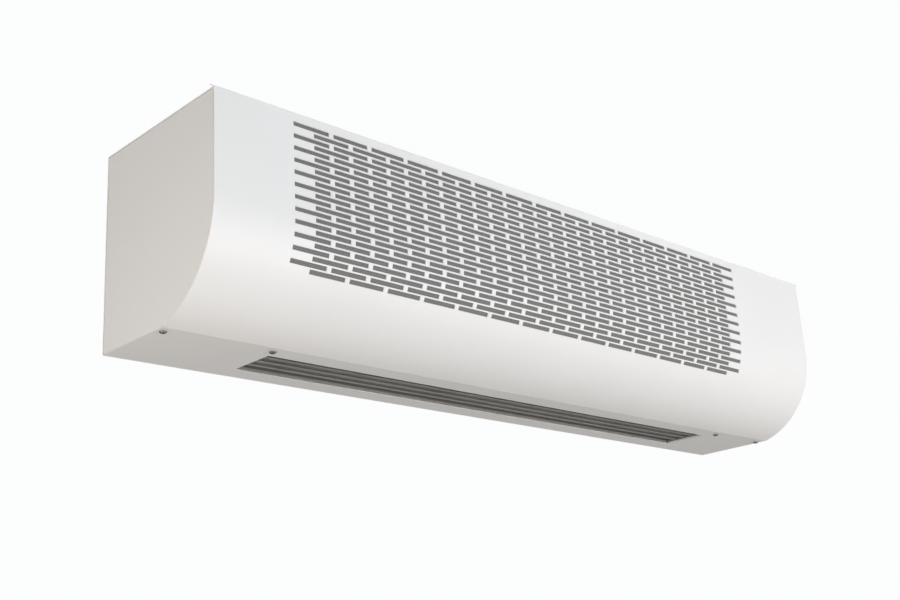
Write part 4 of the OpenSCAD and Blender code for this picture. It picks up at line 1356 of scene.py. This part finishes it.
@dataclass(frozen=True)
class Studio:
    """A pale floor far below the curtain, a pale surround, soft lamps and the camera."""

    floor_z: float = -2.4
    floor_size: float = 600.0
    floor_colour: Colour = (0.5, 0.5, 0.49)
    floor_dark: Colour = (0.485, 0.485, 0.4753)
    floor_clouds_per_metre: float = 1.5
    floor_lift: float = 0.8
    surround: Colour = (0.975, 0.98, 0.985)
    ambient: Colour = (0.25, 0.25, 0.25)
    camera_place: Point = (-1.1703, -1.17405, -0.55123)
    azimuth: float = 44.59
    pitch: float = 18.52
    roll: float = -3.47
    lens: float = 50.94
    sensor: float = 36.0
    lamps: tuple[Lamp, ...] = (
        Lamp("front_level", (0.0, -1.5, -0.1), (0, -0.2, 0), 1.6, 0.6, 5.8, COOL),
        Lamp("front_low", (0.0, -1.6, -0.9), (0.0, -0.15, -0.05), 1.6, 0.4, 8.2, WARM),
        Lamp("front_right", (0.9, -1.6, -0.5), (0.3, -0.2, 0), 1.2, 0.8, 7.5, WARM),
        Lamp("left_level", (-1.6, -0.5, -0.4), (-0.53, -0.1, -0.1), 0.8, 0.8, 3.6, WARM),
        Lamp("left_close", (-1.1, -0.3, -0.5), (-0.53, -0.12, -0.1), 0.5, 0.5, 1.55, WARM),
        Lamp("right_far", (3.2, -0.4, -0.2), (0.5, -0.1, -0.05), 2.0, 1.6, 11.0),
        Lamp("top", (0.0, -1.2, 2.6), (0, -0.1, 0), 3.0, 2.0, 15.0),
        Lamp("back", (0.0, 2.8, 1.6), (0, 0, 0), 3.0, 2.0, 26.0),
    )

    def build(self) -> None:
        """Makes the floor, the world, the lamps and the camera."""
        bpy.context.scene.view_settings.view_transform = "Standard"
        self.make_floor()
        self.make_world()
        for lamp in self.lamps:
            lamp.build()
        self.make_camera()

    @staticmethod
    def seen(tree: bpy.types.NodeTree) -> Socket:
        """A factor of 1 on rays from the camera and on those that gloss and glass send on."""
        rays = tree.nodes.new("ShaderNodeLightPath").outputs
        gloss = combined(tree, "MAXIMUM", rays["Is Camera Ray"], rays["Is Glossy Ray"])
        return combined(tree, "MAXIMUM", gloss, rays["Is Transmission Ray"])

    def glow(self, tree: bpy.types.NodeTree, kind: str, share: Socket, below: Socket) -> Socket:
        """The surround's colour as light, over a share of another shader.

        Args:
            tree: The node tree.
            kind: The end of the type of the node that gives the light.
            share: How much of it there is.
            below: The other shader.

        Returns:
            The mixed shader.
        """
        light = tree.nodes.new(f"ShaderNode{kind}")
        light.inputs["Color"].default_value = (*self.surround, 1.0)
        mix = tree.nodes.new("ShaderNodeMixShader")
        for source, socket in zip((share, below, light.outputs[0]), mix.inputs):
            tree.links.new(source, socket)
        return mix.outputs[0]

    def make_floor(self) -> None:
        """A pale painted floor that is lifted towards the surround where it is seen."""
        half = self.floor_size / 2
        corners = [(-half, -half), (half, -half), (half, half), (-half, half)]
        mesh = bpy.data.meshes.new("floor")
        mesh.from_pydata([(x, y, self.floor_z) for x, y in corners], [], [(0, 1, 2, 3)])
        book = NodeBook("floor_paint")
        mottle = book.noise(self.floor_clouds_per_metre, layers=3.0)
        book.shade(mottle, self.floor_dark, self.floor_colour)
        book.fixed(Roughness=0.8)
        tree = book.tree
        share = combined(tree, "MULTIPLY", self.seen(tree), self.floor_lift)
        surface = self.glow(tree, "Emission", share, book.shader.outputs[0])
        tree.links.new(surface, tree.nodes["Material Output"].inputs["Surface"])
        mesh.materials.append(book.material)
        floor = bpy.data.objects.new("floor", mesh)
        bpy.context.scene.collection.objects.link(floor)

    def make_world(self) -> None:
        """Plain grey light all round, and the pale surround where it is seen."""
        world = bpy.data.worlds.new("studio")
        world.use_nodes = True
        bpy.context.scene.world = world
        tree = world.node_tree
        light = tree.nodes["Background"]
        light.inputs["Color"].default_value = (*self.ambient, 1.0)
        surface = self.glow(tree, "Background", self.seen(tree), light.outputs[0])
        tree.links.new(surface, tree.nodes["World Output"].inputs["Surface"])

    def make_camera(self) -> None:
        """A camera where the photograph was taken from.

        It looks along (sin a cos p, cos a cos p, sin p) for the azimuth a and the pitch p, and
        is then rolled about that line.
        """
        azimuth, pitch, roll = radians(self.azimuth), radians(self.pitch), radians(self.roll)
        ahead = Vector((sin(azimuth) * cos(pitch), cos(azimuth) * cos(pitch), sin(pitch)))
        level = Vector((cos(azimuth), -sin(azimuth), 0))
        right = cos(roll) * level + sin(roll) * level.cross(ahead)
        upwards = right.cross(ahead)
        turn = Matrix((right, upwards, -ahead)).transposed().to_4x4()
        data = bpy.data.cameras.new("photograph")
        data.lens = self.lens
        data.sensor_width = self.sensor
        data.clip_end = self.floor_size
        camera = bpy.data.objects.new("photograph", data)
        bpy.context.scene.collection.objects.link(camera)
        camera.matrix_world = Matrix.Translation(self.camera_place) @ turn
        bpy.context.scene.camera = camera


def main() -> None:
    """Builds the studio and the curtain."""
    logging.basicConfig(level=logging.INFO, format="%(name)s: %(message)s")
    Studio().build()
    Case(CaseFrame.measured()).build()
    Outlet().build()
    for assembly in (AIR_DUCT, FAN, MOTOR, HEATER, ELECTRICS, WALL_MOUNT):
        assembly.build()


if __name__ == "__main__":
    main()
